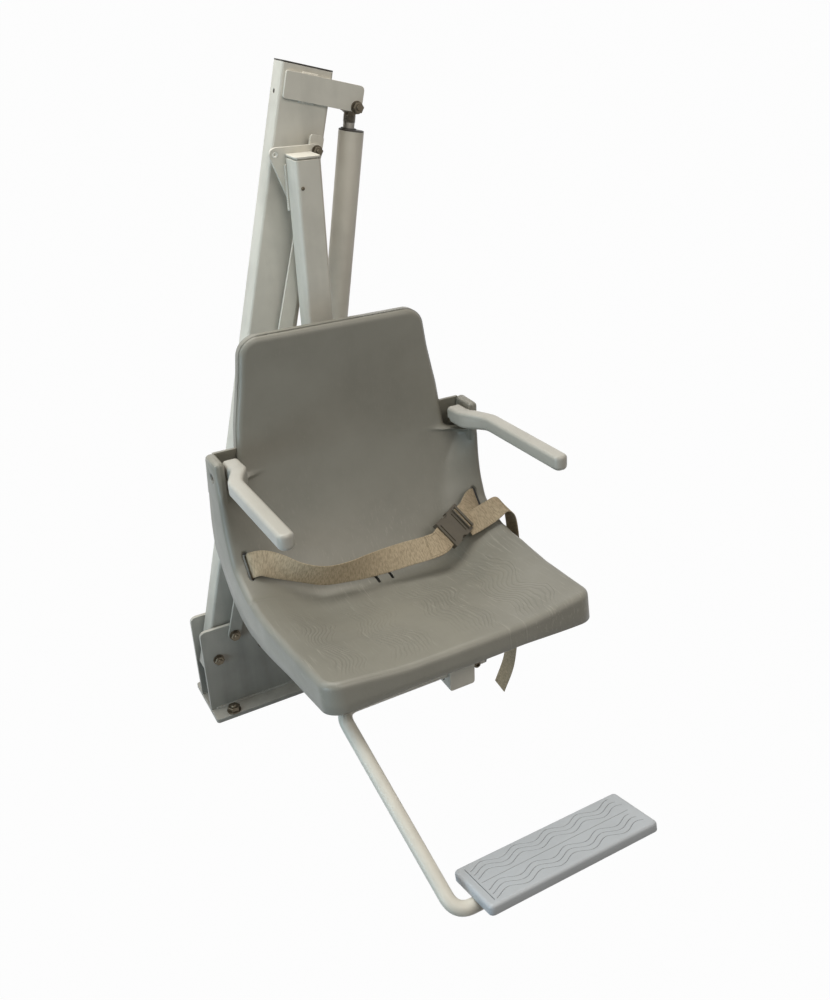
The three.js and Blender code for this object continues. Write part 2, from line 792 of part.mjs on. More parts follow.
function cradle() {
  const low = beamLow + postWidth + seatingGap;
  const plate = plateZ(rectangle(-cradleHalf, -cradleFront, cradleHalf, -cradleBack, baseCorner),
    low, low + cradleThickness);
  const holes = seatBoltPlaces.map(([x, y]) => barZ(x, y, screwRadius + runningGap,
    low - overrun, low + cradleThickness + overrun, boltSides));
  return cut(plate, ...holes);
}

const cradleLow = beamLow + postWidth + seatingGap;
const cradleTop = cradleLow + cradleThickness;
const seatBoltPlaces = [seatBoltBack, seatBoltFront].flatMap((back) => [-1, 1]
  .map((side) => [side * seatBoltAcross, -back]));

function buildPost(carriage) {
  const half = postWidth / 2;
  const cap = tubePlug(half, postWall, postCapThickness, capDepth, postCorner);
  addPart(carriage, 'seat_post', seatPost(), powderCoat);
  addPart(carriage, 'post_cap',
    cap.clone().translate(0, -postMiddle, postTop - postCapThickness), paleNylon);
  addPart(carriage, 'post_screw', postScrew(), stainless);
  addPart(carriage, 'seat_beam', seatBeam(), powderCoat);
  addPart(carriage, 'beam_cap', plateY(rectangle(-half, -half, half, half, postCorner), -beamFront,
    beamCapThickness - beamFront).translate(0, 0, beamMiddle), blackPlastic);
  addPart(carriage, 'seat_cradle', cradle(), powderCoat);
  seatBoltPlaces.forEach(([x, y], i) => {
    addPart(carriage, `seat_bolt_${i + 1}`, screwZ(x, y, cradleLow, cradleTop + bossDepth / 4), stainless);
  });
}

// Seat shell, in the carriage frame
const profileCurve = new THREE.SplineCurve(profileShares.map(([out, up]) => new THREE.Vector2(
  -seatBackOut - out * seatDepth, seatLow + up * seatHeight)));
const profileLength = profileCurve.getLength();

function sectionAt(share) {
  const next = Math.max(1, sectionShares.findIndex((row) => row[0] >= share));
  const [a, b] = [sectionShares[next - 1], sectionShares[next]];
  const blend = (share - a[0]) / (b[0] - a[0]);
  const [, rise, skirt, half, dish] = a.map((value, k) => value + (b[k] - value) * blend);
  return { rise: rise * seatHalf, skirt: skirt * seatHalf, half: half * seatHalf, dish };
}

// How far a round corner draws the edge in, at a distance from the end
function cornerDraw(distance, radius) {
  if (distance >= radius) return 0;
  const reach = radius - Math.max(0, distance);
  return radius - sqrt(radius ** 2 - reach ** 2);
}

// A point of the shell: across and along in -1..1 and 0..1, inset from the outline, depth below
function shellPoint(across, along, inset, depth, atSkirt = false) {
  const travel = inset + (profileLength - 2 * inset) * along;
  const share = travel / profileLength;
  const { rise, skirt, half, dish } = sectionAt(share);
  const drawn = cornerDraw(travel - inset, backCorner - inset)
    + cornerDraw(profileLength - inset - travel, panCorner - inset);
  const x = across * (half - inset - drawn);
  const spread = Math.abs(x) / half;
  const lift = rise * THREE.MathUtils.smoothstep(spread, dish, 1 - seatRound / 2 / half);
  const place = profileCurve.getPointAt(share);
  const ahead = profileCurve.getTangentAt(share);
  const sink = (atSkirt ? skirt : 0) + depth - lift;
  const bulge = panBulge * THREE.MathUtils.smoothstep(share, 0.8, 1) * (1 - spread ** 2);
  return [x, place.x - ahead.y * sink - bulge, place.y + ahead.x * sink];
}

function shellGrid() {
  const ends = Array.from({ length: cornerRows }, (_, k) => 1 - cos(k / cornerRows * PI / 2));
  const topRows = ends.map((share) => share * backCorner / profileLength);
  const frontRows = ends.map((share) => 1 - share * panCorner / profileLength).reverse();
  const steps = sectionShares.map((row) => row[0]).filter((share) => share > 0.06 && share < 0.95);
  const even = Array.from({ length: shellRows }, (_, k) => (k + 1) / (shellRows + 1))
    .filter((share) => share > 0.06 && share < 0.95
      && steps.every((step) => Math.abs(step - share) > 0.008));
  return [...topRows, ...[...steps, ...even].sort((a, b) => a - b), ...frontRows];
}

function seatSheet() {
  const rows = shellGrid();
  const columns = Array.from({ length: shellColumns + 1 }, (_, k) => sin((k / shellColumns - 0.5) * PI));
  const points = [];
  const faces = [];
  const add = (point) => points.push(point) - 1;
  const quad = (a, b, c, d) => faces.push(a, b, c, a, c, d);
  const sheet = (depth) => rows.map((along) => columns.map((across) => add(
    shellPoint(across, along, seatRound, depth))));
  const last = rows.length - 1;
  const border = [
    ...rows.map((_, i) => [i, 0]), ...columns.slice(1).map((_, j) => [last, j + 1]),
    ...rows.slice(1).map((_, i) => [last - 1 - i, shellColumns]),
    ...columns.slice(2).map((_, j) => [0, shellColumns - 1 - j]),
  ];
  const ring = (inset, depth, atSkirt) => border.map(([i, j]) => add(
    shellPoint(columns[j], rows[i], inset, depth, atSkirt)));
  const outer = sheet(0);
  const inner = sheet(seatWall);
  for (let i = 0; i < last; i += 1) {
    for (let j = 0; j < shellColumns; j += 1) {
      quad(outer[i][j], outer[i + 1][j], outer[i + 1][j + 1], outer[i][j + 1]);
      quad(inner[i][j], inner[i][j + 1], inner[i + 1][j + 1], inner[i + 1][j]);
    }
  }
  const rings = [border.map(([i, j]) => outer[i][j])];
  for (let k = 1; k <= roundRows; k += 1) {
    const turn = k / roundRows * PI / 2;
    rings.push(ring(seatRound * (1 - sin(turn)), seatRound * (1 - cos(turn)), false));
  }
  rings.push(ring(0, 0, true), ring(seatWall, 0, true));
  for (let k = roundRows; k >= 1; k -= 1) {
    const turn = k / roundRows * PI / 2;
    const round = seatRound - seatWall;
    rings.push(ring(seatWall + round * (1 - sin(turn)), seatWall + round * (1 - cos(turn)), false));
  }
  rings.push(border.map(([i, j]) => inner[i][j]));
  rings.slice(1).forEach((low, k) => border.forEach((_, m) => {
    const n = (m + 1) % border.length;
    quad(rings[k][n], rings[k][m], low[m], low[n]);
  }));
  const geometry = new THREE.BufferGeometry();
  geometry.setAttribute('position', new THREE.Float32BufferAttribute(points.flat(), 3));
  geometry.setIndex(faces);
  return geometry;
}

function seatEar(side) {
  const earLow = armPivotHeight - earBelow;
  const earTop = armPivotHeight + earAbove;
  const shape = outline([
    [-armPivotBack - earAhead, earLow], [earBehindLow - armPivotBack, earLow],
    [earBehindTop - armPivotBack, earTop, earCorner], [-armPivotBack - earAhead, earTop, earCorner],
  ]);
  const [x0, x1] = [side * earInner, side * seatHalf].sort((a, b) => a - b);
  return plateX(shape, x0, x1);
}

function pocketBack(side) {
  const low = pocketBehindLow - armPivotBack;
  const top = pocketBehindTop - armPivotBack;
  const pocketLow = armPivotHeight - pocketBelow;
  const pocketTop = armPivotHeight + pocketAbove;
  const shape = outline([
    [low, pocketLow], [low + pocketWall, pocketLow], [top + pocketWall, pocketTop], [top, pocketTop],
  ]);
  const [x0, x1] = [side * pocketInner, side * (earInner + seatWall)].sort((a, b) => a - b);
  return plateX(shape, x0, x1);
}

function seatBosses() {
  return seatBoltPlaces.map(([x, y]) => {
    const travel = y === -seatBoltBack ? seatBoltBack : seatBoltFront;
    return barZ(x, y, bossRadius, cradleTop + seatingGap, panHeight(travel) - seatWall / 2, boltSides);
  });
}

// Height of the shell's top surface on its middle line, at a distance behind the origin plane
function panHeight(back) {
  const points = profileCurve.getSpacedPoints(shellRows * shellColumns);
  return points.reduce((best, point) => (Math.abs(point.x + back) < Math.abs(best.x + back)
    && point.y < seatLow + seatHeight / 2 ? point : best), points[points.length - 1]).y;
}

function slotCut(side) {
  const slot = new THREE.BoxGeometry(slotWidth, slotDepth, slotLength);
  slot.rotateX(slotLean * degree - PI / 2);
  return slot.translate(side * slotAcross, -slotBack, slotHeight);
}

function drainCut(side) {
  const high = panHeight(drainBack) + seatRound;
  return block(side * drainAcross - drainWidth / 2, -drainBack - drainLength / 2, cradleTop,
    side * drainAcross + drainWidth / 2, drainLength / 2 - drainBack, high);
}

function armPinCut(side) {
  const [x0, x1] = [side * (earInner - overrun), side * (seatHalf + overrun)].sort((a, b) => a - b);
  const [h0, h1] = [side * (seatHalf - armPinSink), side * (seatHalf + overrun)].sort((a, b) => a - b);
  return [barX(-armPivotBack, armPivotHeight, armPinRadius + runningGap, x0, x1, boltSides),
    barX(-armPivotBack, armPivotHeight, armPinHead + runningGap, h0, h1, boltSides)];
}

function seatShell() {
  const boltCuts = seatBoltPlaces.map(([x, y]) => barZ(x, y, screwRadius + runningGap,
    cradleTop - overrun, cradleTop + bossDepth / 3, boltSides));
  const body = join(seatSheet(), seatEar(-1), seatEar(1), pocketBack(-1), pocketBack(1), ...seatBosses());
  return cut(body, slotCut(-1), slotCut(1), drainCut(-1), drainCut(1),
    ...armPinCut(-1), ...armPinCut(1), ...boltCuts);
}

function armPin(side) {
  const inner = side * (armRoot + seatingGap);
  const outer = side * (seatHalf - armPinSink + seatingGap);
  const head = side * (seatHalf - seatingGap);
  const [x0, x1] = [inner, outer].sort((a, b) => a - b);
  const [h0, h1] = [outer, head].sort((a, b) => a - b);
  return join(barX(-armPivotBack, armPivotHeight, armPinRadius, x0, side > 0 ? x1 + overrun : x1, boltSides),
    barX(-armPivotBack, armPivotHeight, armPinHead, h0, h1, boltSides));
}

// Arm, in a frame on its pivot, tilted up towards its tip
function arm(side) {
  const plan = new THREE.Shape();
  const root = side * armRoot;
  const rootOuter = side * (armRoot + armRootWidth);
  const tip = side * armTip;
  const tipOuter = side * (armTip + armWidth);
  const middle = (armBendStart + armBendEnd) / 2;
  const inTip = side * armEnd;
  plan.moveTo(root, armHeel);
  plan.lineTo(root, -armBendStart);
  plan.bezierCurveTo(root, -middle, tip, -middle, tip, -armBendEnd);
  plan.lineTo(tip, armEnd - armReach);
  plan.quadraticCurveTo(tip, -armReach, tip + inTip, -armReach);
  plan.lineTo(tipOuter - inTip, -armReach);
  plan.quadraticCurveTo(tipOuter, -armReach, tipOuter, armEnd - armReach);
  plan.lineTo(tipOuter, -armBendEnd);
  plan.bezierCurveTo(tipOuter, -middle, rootOuter, -middle, rootOuter, -armBendStart);
  plan.lineTo(rootOuter, armHeel);
  plan.closePath();
  const slab = new THREE.ExtrudeGeometry(plan, {
    depth: 2 * armDepth + armTopUp, bevelEnabled: false, curveSegments: curveFaces,
  }).translate(0, 0, -armDepth);
  const thin = armTopUp - armDepth;
  const profile = plateX(outline([
    [-armReach - overrun, thin], [-armBendEnd, thin, armFillet], [-armBendStart, -armRootDrop, armFillet],
    [armHeel, -armRootDrop, armRootDrop], [armHeel, armRootUp, armRootDrop], [-armRiseStart, armRootUp, armFillet],
    [-armBendStart, armTopUp, armFillet], [-armReach - overrun, armTopUp],
  ]), -seatHalf - overrun, seatHalf + overrun);
  const bore = barX(0, 0, armPinRadius + runningGap, -seatHalf, seatHalf, boltSides);
  return cut(common(slab, profile), bore);
}

function buildSeat(carriage) {
  addPart(carriage, 'seat_shell', seatShell(), seatPlastic);
  [['left', -1], ['right', 1]].forEach(([word, side]) => {
    addPart(carriage, `arm_pin_${word}`, armPin(side), stainless);
    const pivot = addGroup(carriage, 0, -armPivotBack, armPivotHeight);
    pivot.rotation.x = -armTilt * degree;
    addPart(pivot, `arm_${word}`, arm(side), armPlastic);
  });
}

// Footrest, in the carriage frame
function tubePath() {
  const corners = [
    [tubeRight, -footPivotBack, footPivotHeight], [-tubeLeft, -footPivotBack, footPivotHeight],
    [-tubeLowLeft, -tubeLowBack, tubeLowHeight], [tubeLowRight, -tubeLowBack, tubeLowHeight],
  ].map((place) => new THREE.Vector3(...place));
  const path = new THREE.CurvePath();
  let from = corners[0];
  corners.slice(1, -1).forEach((corner, i) => {
    const back = corners[i].clone().sub(corner).normalize();
    const ahead = corners[i + 2].clone().sub(corner).normalize();
    const start = corner.clone().addScaledVector(back, tubeBend);
    const end = corner.clone().addScaledVector(ahead, tubeBend);
    path.add(new THREE.LineCurve3(from, start));
    path.add(new THREE.QuadraticBezierCurve3(start, corner, end));
    from = end;
  });
  path.add(new THREE.LineCurve3(from, corners[corners.length - 1]));
  return path;
}

function footrestTube() {
  const ring = new THREE.Shape().absarc(0, 0, tubeRadius, 0, 2 * PI);
  ring.holes.push(new THREE.Path().absarc(0, 0, tubeBore, 0, 2 * PI));
  const tube = new THREE.ExtrudeGeometry(ring, {
    extrudePath: tubePath(), steps: tubeSteps, curveSegments: tubeSides / 2, bevelEnabled: false,
  });
  const holes = [-1, 1].map((side) => boardTurned(barZ(side * boardScrewSpread, 0,
    screwRadius + runningGap, -3 * tubeRadius - boardThickness, 0, boltSides)));
  const stop = barY(stopBoltAcross, footPivotHeight, screwRadius + runningGap,
    -footPivotBack - 2 * tubeRadius, -footPivotBack, boltSides);
  return cut(tube, ...holes, stop);
}

// Places a geometry of the board's own frame: origin on the middle of its top, over the tube
function boardTurned(geometry) {
  const rise = boardThickness + seatingGap + tubeRadius;
  const tilt = boardTilt * degree;
  return geometry.rotateX(-tilt).translate(0, -tubeLowBack + rise * sin(tilt),
    tubeLowHeight + rise * cos(tilt));
}

function footrestBoard() {
  const half = [boardWidth / 2, boardDepth / 2];
  const board = plateZ(rectangle(-half[0], -half[1], half[0], half[1], boardCorner), -boardThickness, 0);
  const holes = [-1, 1].map((side) => barZ(side * boardScrewSpread, 0, screwRadius + runningGap,
    -boardThickness - overrun, boardScrewDepth + runningGap - boardThickness, boltSides));
  return boardTurned(cut(board, ...holes));
}

function boardScrew(side) {
  const face = -boardThickness - seatingGap - 2 * tubeRadius;
  return boardTurned(screwZ(side * boardScrewSpread, 0, face, boardScrewDepth - boardThickness));
}

function tubeEnd(x0, direction) {
  const [lip0, lip1] = [x0 + direction * seatingGap, x0 + direction * (plugLip + seatingGap)]
    .sort((a, b) => a - b);
  const [in0, in1] = [x0 - direction * plugDepth, x0 + direction * plugLip].sort((a, b) => a - b);
  return join(barX(0, 0, tubeRadius, lip0, lip1, boltSides),
    barX(0, 0, tubeBore * cos(PI / tubeSides) - seatingGap, in0, in1, boltSides));
}

function buildFootrest(carriage) {
  addPart(carriage, 'footrest_tube', footrestTube(), powderCoat);
  addPart(carriage, 'footrest_board', footrestBoard(), padPlastic);
  addPart(carriage, 'footrest_screw_left', boardScrew(-1), stainless);
  addPart(carriage, 'footrest_screw_right', boardScrew(1), stainless);
  addPart(carriage, 'footrest_plug_upper',
    tubeEnd(tubeRight, 1).translate(0, -footPivotBack, footPivotHeight), blackPlastic);
  addPart(carriage, 'footrest_plug_lower',
    tubeEnd(tubeLowRight, 1).translate(0, -tubeLowBack, tubeLowHeight), blackPlastic);
  addPart(carriage, 'footrest_stop_bolt', join(
    barY(stopBoltAcross, footPivotHeight, screwAcross / 2, -footPivotBack - tubeRadius - screwHead,
      -footPivotBack - tubeRadius - seatingGap, boltSides),
    barY(stopBoltAcross, footPivotHeight, screwRadius, -footPivotBack - tubeRadius - screwHead,
      -footPivotBack - screwRadius, boltSides),
  ), darkSteel);
}

// Straps: a flat ribbon through stations of place and width direction
function ribbon(stations) {
  const places = new THREE.CatmullRomCurve3(stations.map(([place]) => place), false, 'centripetal');
  const widths = new THREE.CatmullRomCurve3(stations.map(([, width]) => width));
  const steps = Math.ceil(places.getLength() / beltStep);
  const points = [];
  for (let k = 0; k <= steps; k += 1) {
    const t = k / steps;
    const place = places.getPoint(t);
    const along = places.getTangent(t);
    const width = widths.getPoint(t);
    width.addScaledVector(along, -width.dot(along)).normalize();
    const face = along.clone().cross(width);
    [[-1, -1], [1, -1], [1, 1], [-1, 1]].forEach(([u, v]) => points.push(...place.clone()
      .addScaledVector(width, u * beltWidth / 2).addScaledVector(face, v * beltThickness / 2).toArray()));
  }
  const faces = [0, 2, 1, 0, 3, 2];
  for (let k = 0; k < steps; k += 1) {
    for (let j = 0; j < 4; j += 1) {
      const [a, b] = [4 * k + j, 4 * k + (j + 1) % 4];
      faces.push(a, b, b + 4, a, b + 4, a + 4);
    }
  }
  const end = 4 * steps;
  faces.push(end, end + 1, end + 2, end, end + 2, end + 3);
  const geometry = new THREE.BufferGeometry();
  geometry.setAttribute('position', new THREE.Float32BufferAttribute(points, 3));
  geometry.setIndex(faces);
  return geometry;
}

function seatPlace([across, out, up]) {
  return new THREE.Vector3(across * seatHalf, -seatBackOut - out * seatDepth, seatLow + up * seatHeight);
}

function station(place, leanBack) {
  const angle = leanBack * degree;
  return [place, new THREE.Vector3(0, sin(angle), cos(angle))];
}

function shareStation(shares) {
  return station(seatPlace(shares), shares[3]);
}

// The strap's end in a slot, square to the shell there, at a distance above its surface
function slotStation(side, above, shift) {
  const angle = slotLean * degree;
  const normal = new THREE.Vector3(0, -sin(angle), cos(angle));
  const width = new THREE.Vector3(0, cos(angle), sin(angle));
  const place = new THREE.Vector3(side * (slotAcross - shift), -slotBack, slotHeight)
    .addScaledVector(normal, above);
  return [place, width];
}

// Buckle frame: X along the strap, Y across it, Z out of its face
function buckleFrame() {
  const along = new THREE.Vector3(cos(buckleTurn * degree), sin(buckleTurn * degree),
    tan(buckleRise * degree)).normalize();
  const angle = buckleLean * degree;
  const across = new THREE.Vector3(0, sin(angle), cos(angle));
  across.addScaledVector(along, -across.dot(along)).normalize();
  const out = along.clone().cross(across);
  return new THREE.Matrix4().makeBasis(along, across, out).setPosition(seatPlace(buckleShares));
}

function buckleEnd(x, z) {
  return station(new THREE.Vector3(x, 0, z).applyMatrix4(buckleFrame()), buckleLean);
}

function buildBelt(carriage) {
  const frame = buckleFrame();
  const half = [buckleLength / 2, buckleWidth / 2, buckleDepth / 2];
  const mouth = half[0] - buckleWall * 2;
  const inner = [half[1] - buckleWall, half[2] - buckleWall];
  const socket = cut(
    block(-half[0], -half[1], -half[2], half[0], half[1], half[2]),
    block(mouth - prongLength, -inner[0], -inner[1], half[0] + overrun, inner[0], inner[1]),
    block(mouth - buckleWindow, -half[1] - overrun, -prongDepth / 2 - seatingGap, mouth - tongueBar,
      half[1] + overrun, prongDepth / 2 + seatingGap),
  );
  const tongueStart = half[0] + seatingGap;
  const tongueEnd = tongueStart + tongueFrame;
  const strapSlot = [tongueStart + tongueBar, tongueEnd - tongueBar];
  const prongSide = inner[0] - seatingGap - prongWidth;
  const prong = (side) => {
    const [y0, y1] = [side * prongSide, side * (prongSide + prongWidth)].sort((a, b) => a - b);
    return block(tongueStart - prongLength + tongueBar, y0, -prongDepth / 2, tongueStart + overrun, y1,
      prongDepth / 2);
  };
  const tongue = cut(join(
    block(tongueStart, -half[1], -half[2] + buckleWall, tongueEnd, half[1], half[2] - buckleWall),
    prong(-1), prong(1),
    block(tongueStart - prongLength / 2, -prongWidth / 2, -prongDepth / 2, tongueStart + overrun,
      prongWidth / 2, prongDepth / 2),
  ), block(strapSlot[0], -beltWidth / 2 - overrun, -half[2], strapSlot[1], beltWidth / 2 + overrun, half[2]));
  const leftEnd = buckleEnd(-half[0] - seatingGap, 0);
  const slotHug = (slotWidth - beltThickness) / 2 - beltThickness / 2;
  const leftLead = buckleEnd(-half[0] - beltLead, 0);
  const overBars = half[2] - buckleWall + beltThickness;
  const rightStart = buckleEnd(strapSlot[0], overBars);
  const rightOver = buckleEnd(tongueEnd + tongueTravel, overBars);
  addPart(carriage, 'belt_left', ribbon([
    slotStation(-1, -beltTuck, slotHug), slotStation(-1, 0, slotHug),
    slotStation(-1, beltLift, slotHug + beltThickness),
    ...leftRouteShares.map(shareStation), leftLead, leftEnd,
  ]), webbing);
  addPart(carriage, 'belt_right', ribbon([
    rightStart, rightOver, ...rightRouteShares.map(shareStation),
    slotStation(1, beltLift, slotHug + beltThickness), slotStation(1, 0, slotHug),
    slotStation(1, -beltTuck, slotHug),
  ]), webbing);
  addPart(carriage, 'belt_tail', ribbon([...tailRouteShares.map(shareStation)]), webbing);
  addPart(carriage, 'buckle_socket', socket.applyMatrix4(frame), bucklePlastic);
  addPart(carriage, 'buckle_tongue', tongue.applyMatrix4(frame), bucklePlastic);
}

const lift = new THREE.Group();
buildBase(lift);
buildMast(lift);
buildLink(lift);
buildActuator(lift);
const carriage = addGroup(lift, seatAcross, 0, 0);
buildCoupler(carriage);
buildPost(carriage);
buildSeat(carriage);
buildFootrest(carriage);
buildBelt(carriage);

export default lift;
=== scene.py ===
"""Pool patient lift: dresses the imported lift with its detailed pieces, finishes, light and camera."""

import json
import math

import bmesh
import bpy
import numpy as np
from mathutils import Matrix, Vector

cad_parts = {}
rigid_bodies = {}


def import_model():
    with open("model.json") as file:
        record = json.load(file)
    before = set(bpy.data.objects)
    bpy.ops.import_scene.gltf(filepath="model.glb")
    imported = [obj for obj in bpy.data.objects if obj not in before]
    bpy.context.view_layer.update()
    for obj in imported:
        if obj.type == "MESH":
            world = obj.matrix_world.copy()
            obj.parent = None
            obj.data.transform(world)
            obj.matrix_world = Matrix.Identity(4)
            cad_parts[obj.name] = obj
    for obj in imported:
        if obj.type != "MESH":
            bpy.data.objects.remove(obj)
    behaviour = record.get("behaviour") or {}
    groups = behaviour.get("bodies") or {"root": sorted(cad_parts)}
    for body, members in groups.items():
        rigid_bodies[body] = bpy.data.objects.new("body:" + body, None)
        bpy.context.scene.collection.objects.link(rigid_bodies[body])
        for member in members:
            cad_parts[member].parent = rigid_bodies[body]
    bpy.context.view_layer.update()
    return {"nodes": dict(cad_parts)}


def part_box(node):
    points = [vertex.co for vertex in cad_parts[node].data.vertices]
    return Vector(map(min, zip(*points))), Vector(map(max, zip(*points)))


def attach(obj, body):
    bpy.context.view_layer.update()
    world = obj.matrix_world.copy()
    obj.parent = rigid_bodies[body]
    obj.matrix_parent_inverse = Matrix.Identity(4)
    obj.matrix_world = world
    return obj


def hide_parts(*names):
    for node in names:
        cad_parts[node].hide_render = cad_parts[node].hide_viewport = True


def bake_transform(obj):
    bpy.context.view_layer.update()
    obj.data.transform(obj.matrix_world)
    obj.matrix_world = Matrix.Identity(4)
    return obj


bl_info = {
    "name": "Pool patient lift",
    "version": (1, 0, 0),
    "blender": (4, 5, 0),
    "location": "View3D > Sidebar > Pool lift",
    "description": "Builds the visible pieces and finishes of a pool patient lift on its packed frame",
    "category": "Object",
}

for leftover in list(bpy.data.objects):
    bpy.data.objects.remove(leftover)

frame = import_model()
GAP = 0.0003
WELD_SINK = 0.0006


# ---------------------------------------------------------------- sizes and colours

def length(name, description, value):
    return bpy.props.FloatProperty(name=name, description=description, default=value, min=0.0, unit="LENGTH")


def colour(name, description, red, green, blue):
    return bpy.props.FloatVectorProperty(name=name, description=description, subtype="COLOR_GAMMA", size=3,
                                         min=0.0, max=1.0, default=(red, green, blue))


class LiftSizes(bpy.types.PropertyGroup):
    """Sizes of the lift's finish and small detail"""

    plate_edge: length("Plate edge", "Rounding of the coated plates' edges", 0.0014)
    tube_edge: length("Tube end edge", "Rounding of the tubes' cut ends", 0.0009)
    weld_width: length("Weld width", "Width of a weld bead", 0.0062)
    weld_pitch: length("Weld pitch", "Distance between the ripples of a weld bead", 0.0034)
    groove_width: length("Groove width", "Width of the footrest board's grooves", 0.0016)
    groove_depth: length("Groove depth", "Depth of the footrest board's grooves", 0.0011)
    board_edge: length("Board edge", "Rounding of the footrest board's edges", 0.006)
    strap_width: length("Strap width", "Width of the lap belt's webbing", 0.048)
    strap_thickness: length("Strap thickness", "Thickness of the lap belt's webbing", 0.0018)
    stitch_pitch: length("Stitch pitch", "Distance between two stitches", 0.0032)
    stitch_length: length("Stitch length", "Length of one stitch", 0.0022)
    stitch_radius: length("Stitch radius", "Thickness of the sewing thread", 0.00035)
    buckle_edge: length("Buckle edge", "Rounding of the buckle's edges", 0.0016)


class LiftColours(bpy.types.PropertyGroup):
    """Colours of the lift's finishes"""

    coat: colour("Powder coat", "Light grey coating of the metal frame", 0.84, 0.825, 0.78)
    seat: colour("Seat plastic", "Moulded seat shell", 0.53, 0.52, 0.48)
    arm: colour("Arm plastic", "Fold-up arms", 0.70, 0.69, 0.655)
    board: colour("Board plastic", "Footrest board", 0.685, 0.70, 0.715)
    steel: colour("Stainless steel", "Bolts, nuts and washers", 0.40, 0.37, 0.33)
    dark_steel: colour("Dark steel", "Bolts that have weathered", 0.38, 0.35, 0.30)
    rod: colour("Rod", "Actuator's rod", 0.50, 0.485, 0.455)
    black: colour("Black plastic", "Caps and plugs", 0.19, 0.175, 0.15)
    buckle: colour("Buckle plastic", "Side-release buckle", 0.33, 0.305, 0.26)
    webbing: colour("Webbing", "Lap belt's yarn", 0.775, 0.705, 0.595)
    thread: colour("Thread", "Stitches of the lap belt", 0.44, 0.40, 0.33)
    rubber: colour("Rubber", "Stop sleeve", 0.16, 0.155, 0.145)
    nylon: colour("Nylon", "Bushes", 0.93, 0.92, 0.89)
    floor: colour("Floor", "Plain floor", 0.25, 0.25, 0.24)


def sizes():
    return bpy.context.scene.lift_sizes


def paint(name, shade=1.0):
    """A named colour in linear light, times a shade"""
    values = getattr(bpy.context.scene.lift_colours, name)
    return tuple(shade * (v / 12.92 if v <= 0.04045 else ((v + 0.055) / 1.055) ** 2.4) for v in values) + (1.0,)


# ---------------------------------------------------------------- node trees

class Value:
    """A socket of a node tree that takes part in Python expressions"""

    def __init__(self, tree, socket):
        self.tree, self.socket = tree, socket

    def math(self, operation, *others):
        return self.tree.math(operation, self, *others)

    def __add__(self, other):
        return self.math("ADD", other)

    def __radd__(self, other):
        return self.tree.math("ADD", other, self)

    def __sub__(self, other):
        return self.math("SUBTRACT", other)

    def __rsub__(self, other):
        return self.tree.math("SUBTRACT", other, self)

    def __mul__(self, other):
        return self.math("MULTIPLY", other)

    def __rmul__(self, other):
        return self.tree.math("MULTIPLY", other, self)

    def __truediv__(self, other):
        return self.math("DIVIDE", other)


class Tree:
    """Builds the nodes of a material or a geometry tree"""

    def __init__(self, nodes):
        self.nodes = nodes

    def node(self, kind, values=(), **settings):
        made = self.nodes.nodes.new(kind)
        for name, value in settings.items():
            setattr(made, name, value)
        for key, value in dict(values).items():
            self.put(made.inputs[key], value)
        return made

    def put(self, socket, value):
        if isinstance(value, Value):
            self.nodes.links.new(value.socket, socket)
        else:
            socket.default_value = value

    def out(self, kind, values=(), output=0, **settings):
        return Value(self, self.node(kind, values, **settings).outputs[output])

    def math(self, operation, *values):
        return self.out("ShaderNodeMath", dict(enumerate(values)), operation=operation)

    def mix(self, factor, first, second):
        return self.out("ShaderNodeMix", {0: factor, 6: first, 7: second}, 2, data_type="RGBA")

    def seen(self):
        """1 where the camera sees a thing, straight or through glass or a mirror"""
        rays = self.node("ShaderNodeLightPath")
        camera, glossy, through = (Value(self, rays.outputs[f"Is {kind} Ray"])
                                   for kind in ("Camera", "Glossy", "Transmission"))
        return camera + glossy + through

    def named(self, kind, label):
        return self.out("GeometryNodeInputNamedAttribute", {"Name": label}, data_type=kind)

    def joined(self, *parts):
        join = self.node("GeometryNodeJoinGeometry")
        for part in parts:
            self.nodes.links.new(part.socket, join.inputs[0])
        return Value(self, join.outputs[0])

    def raised(self, geometry, height):
        shift = self.out("ShaderNodeCombineXYZ", {2: height})
        return self.out("GeometryNodeTransform", {0: geometry, "Translation": shift})

    def cylinder(self, sides, radius, depth):
        return self.out("GeometryNodeMeshCylinder", {"Vertices": sides, "Radius": radius, "Depth": depth})

    def cone(self, sides, top, bottom, depth):
        return self.out("GeometryNodeMeshCone", {"Vertices": sides, "Radius Top": top, "Radius Bottom": bottom,
                                                 "Depth": depth})


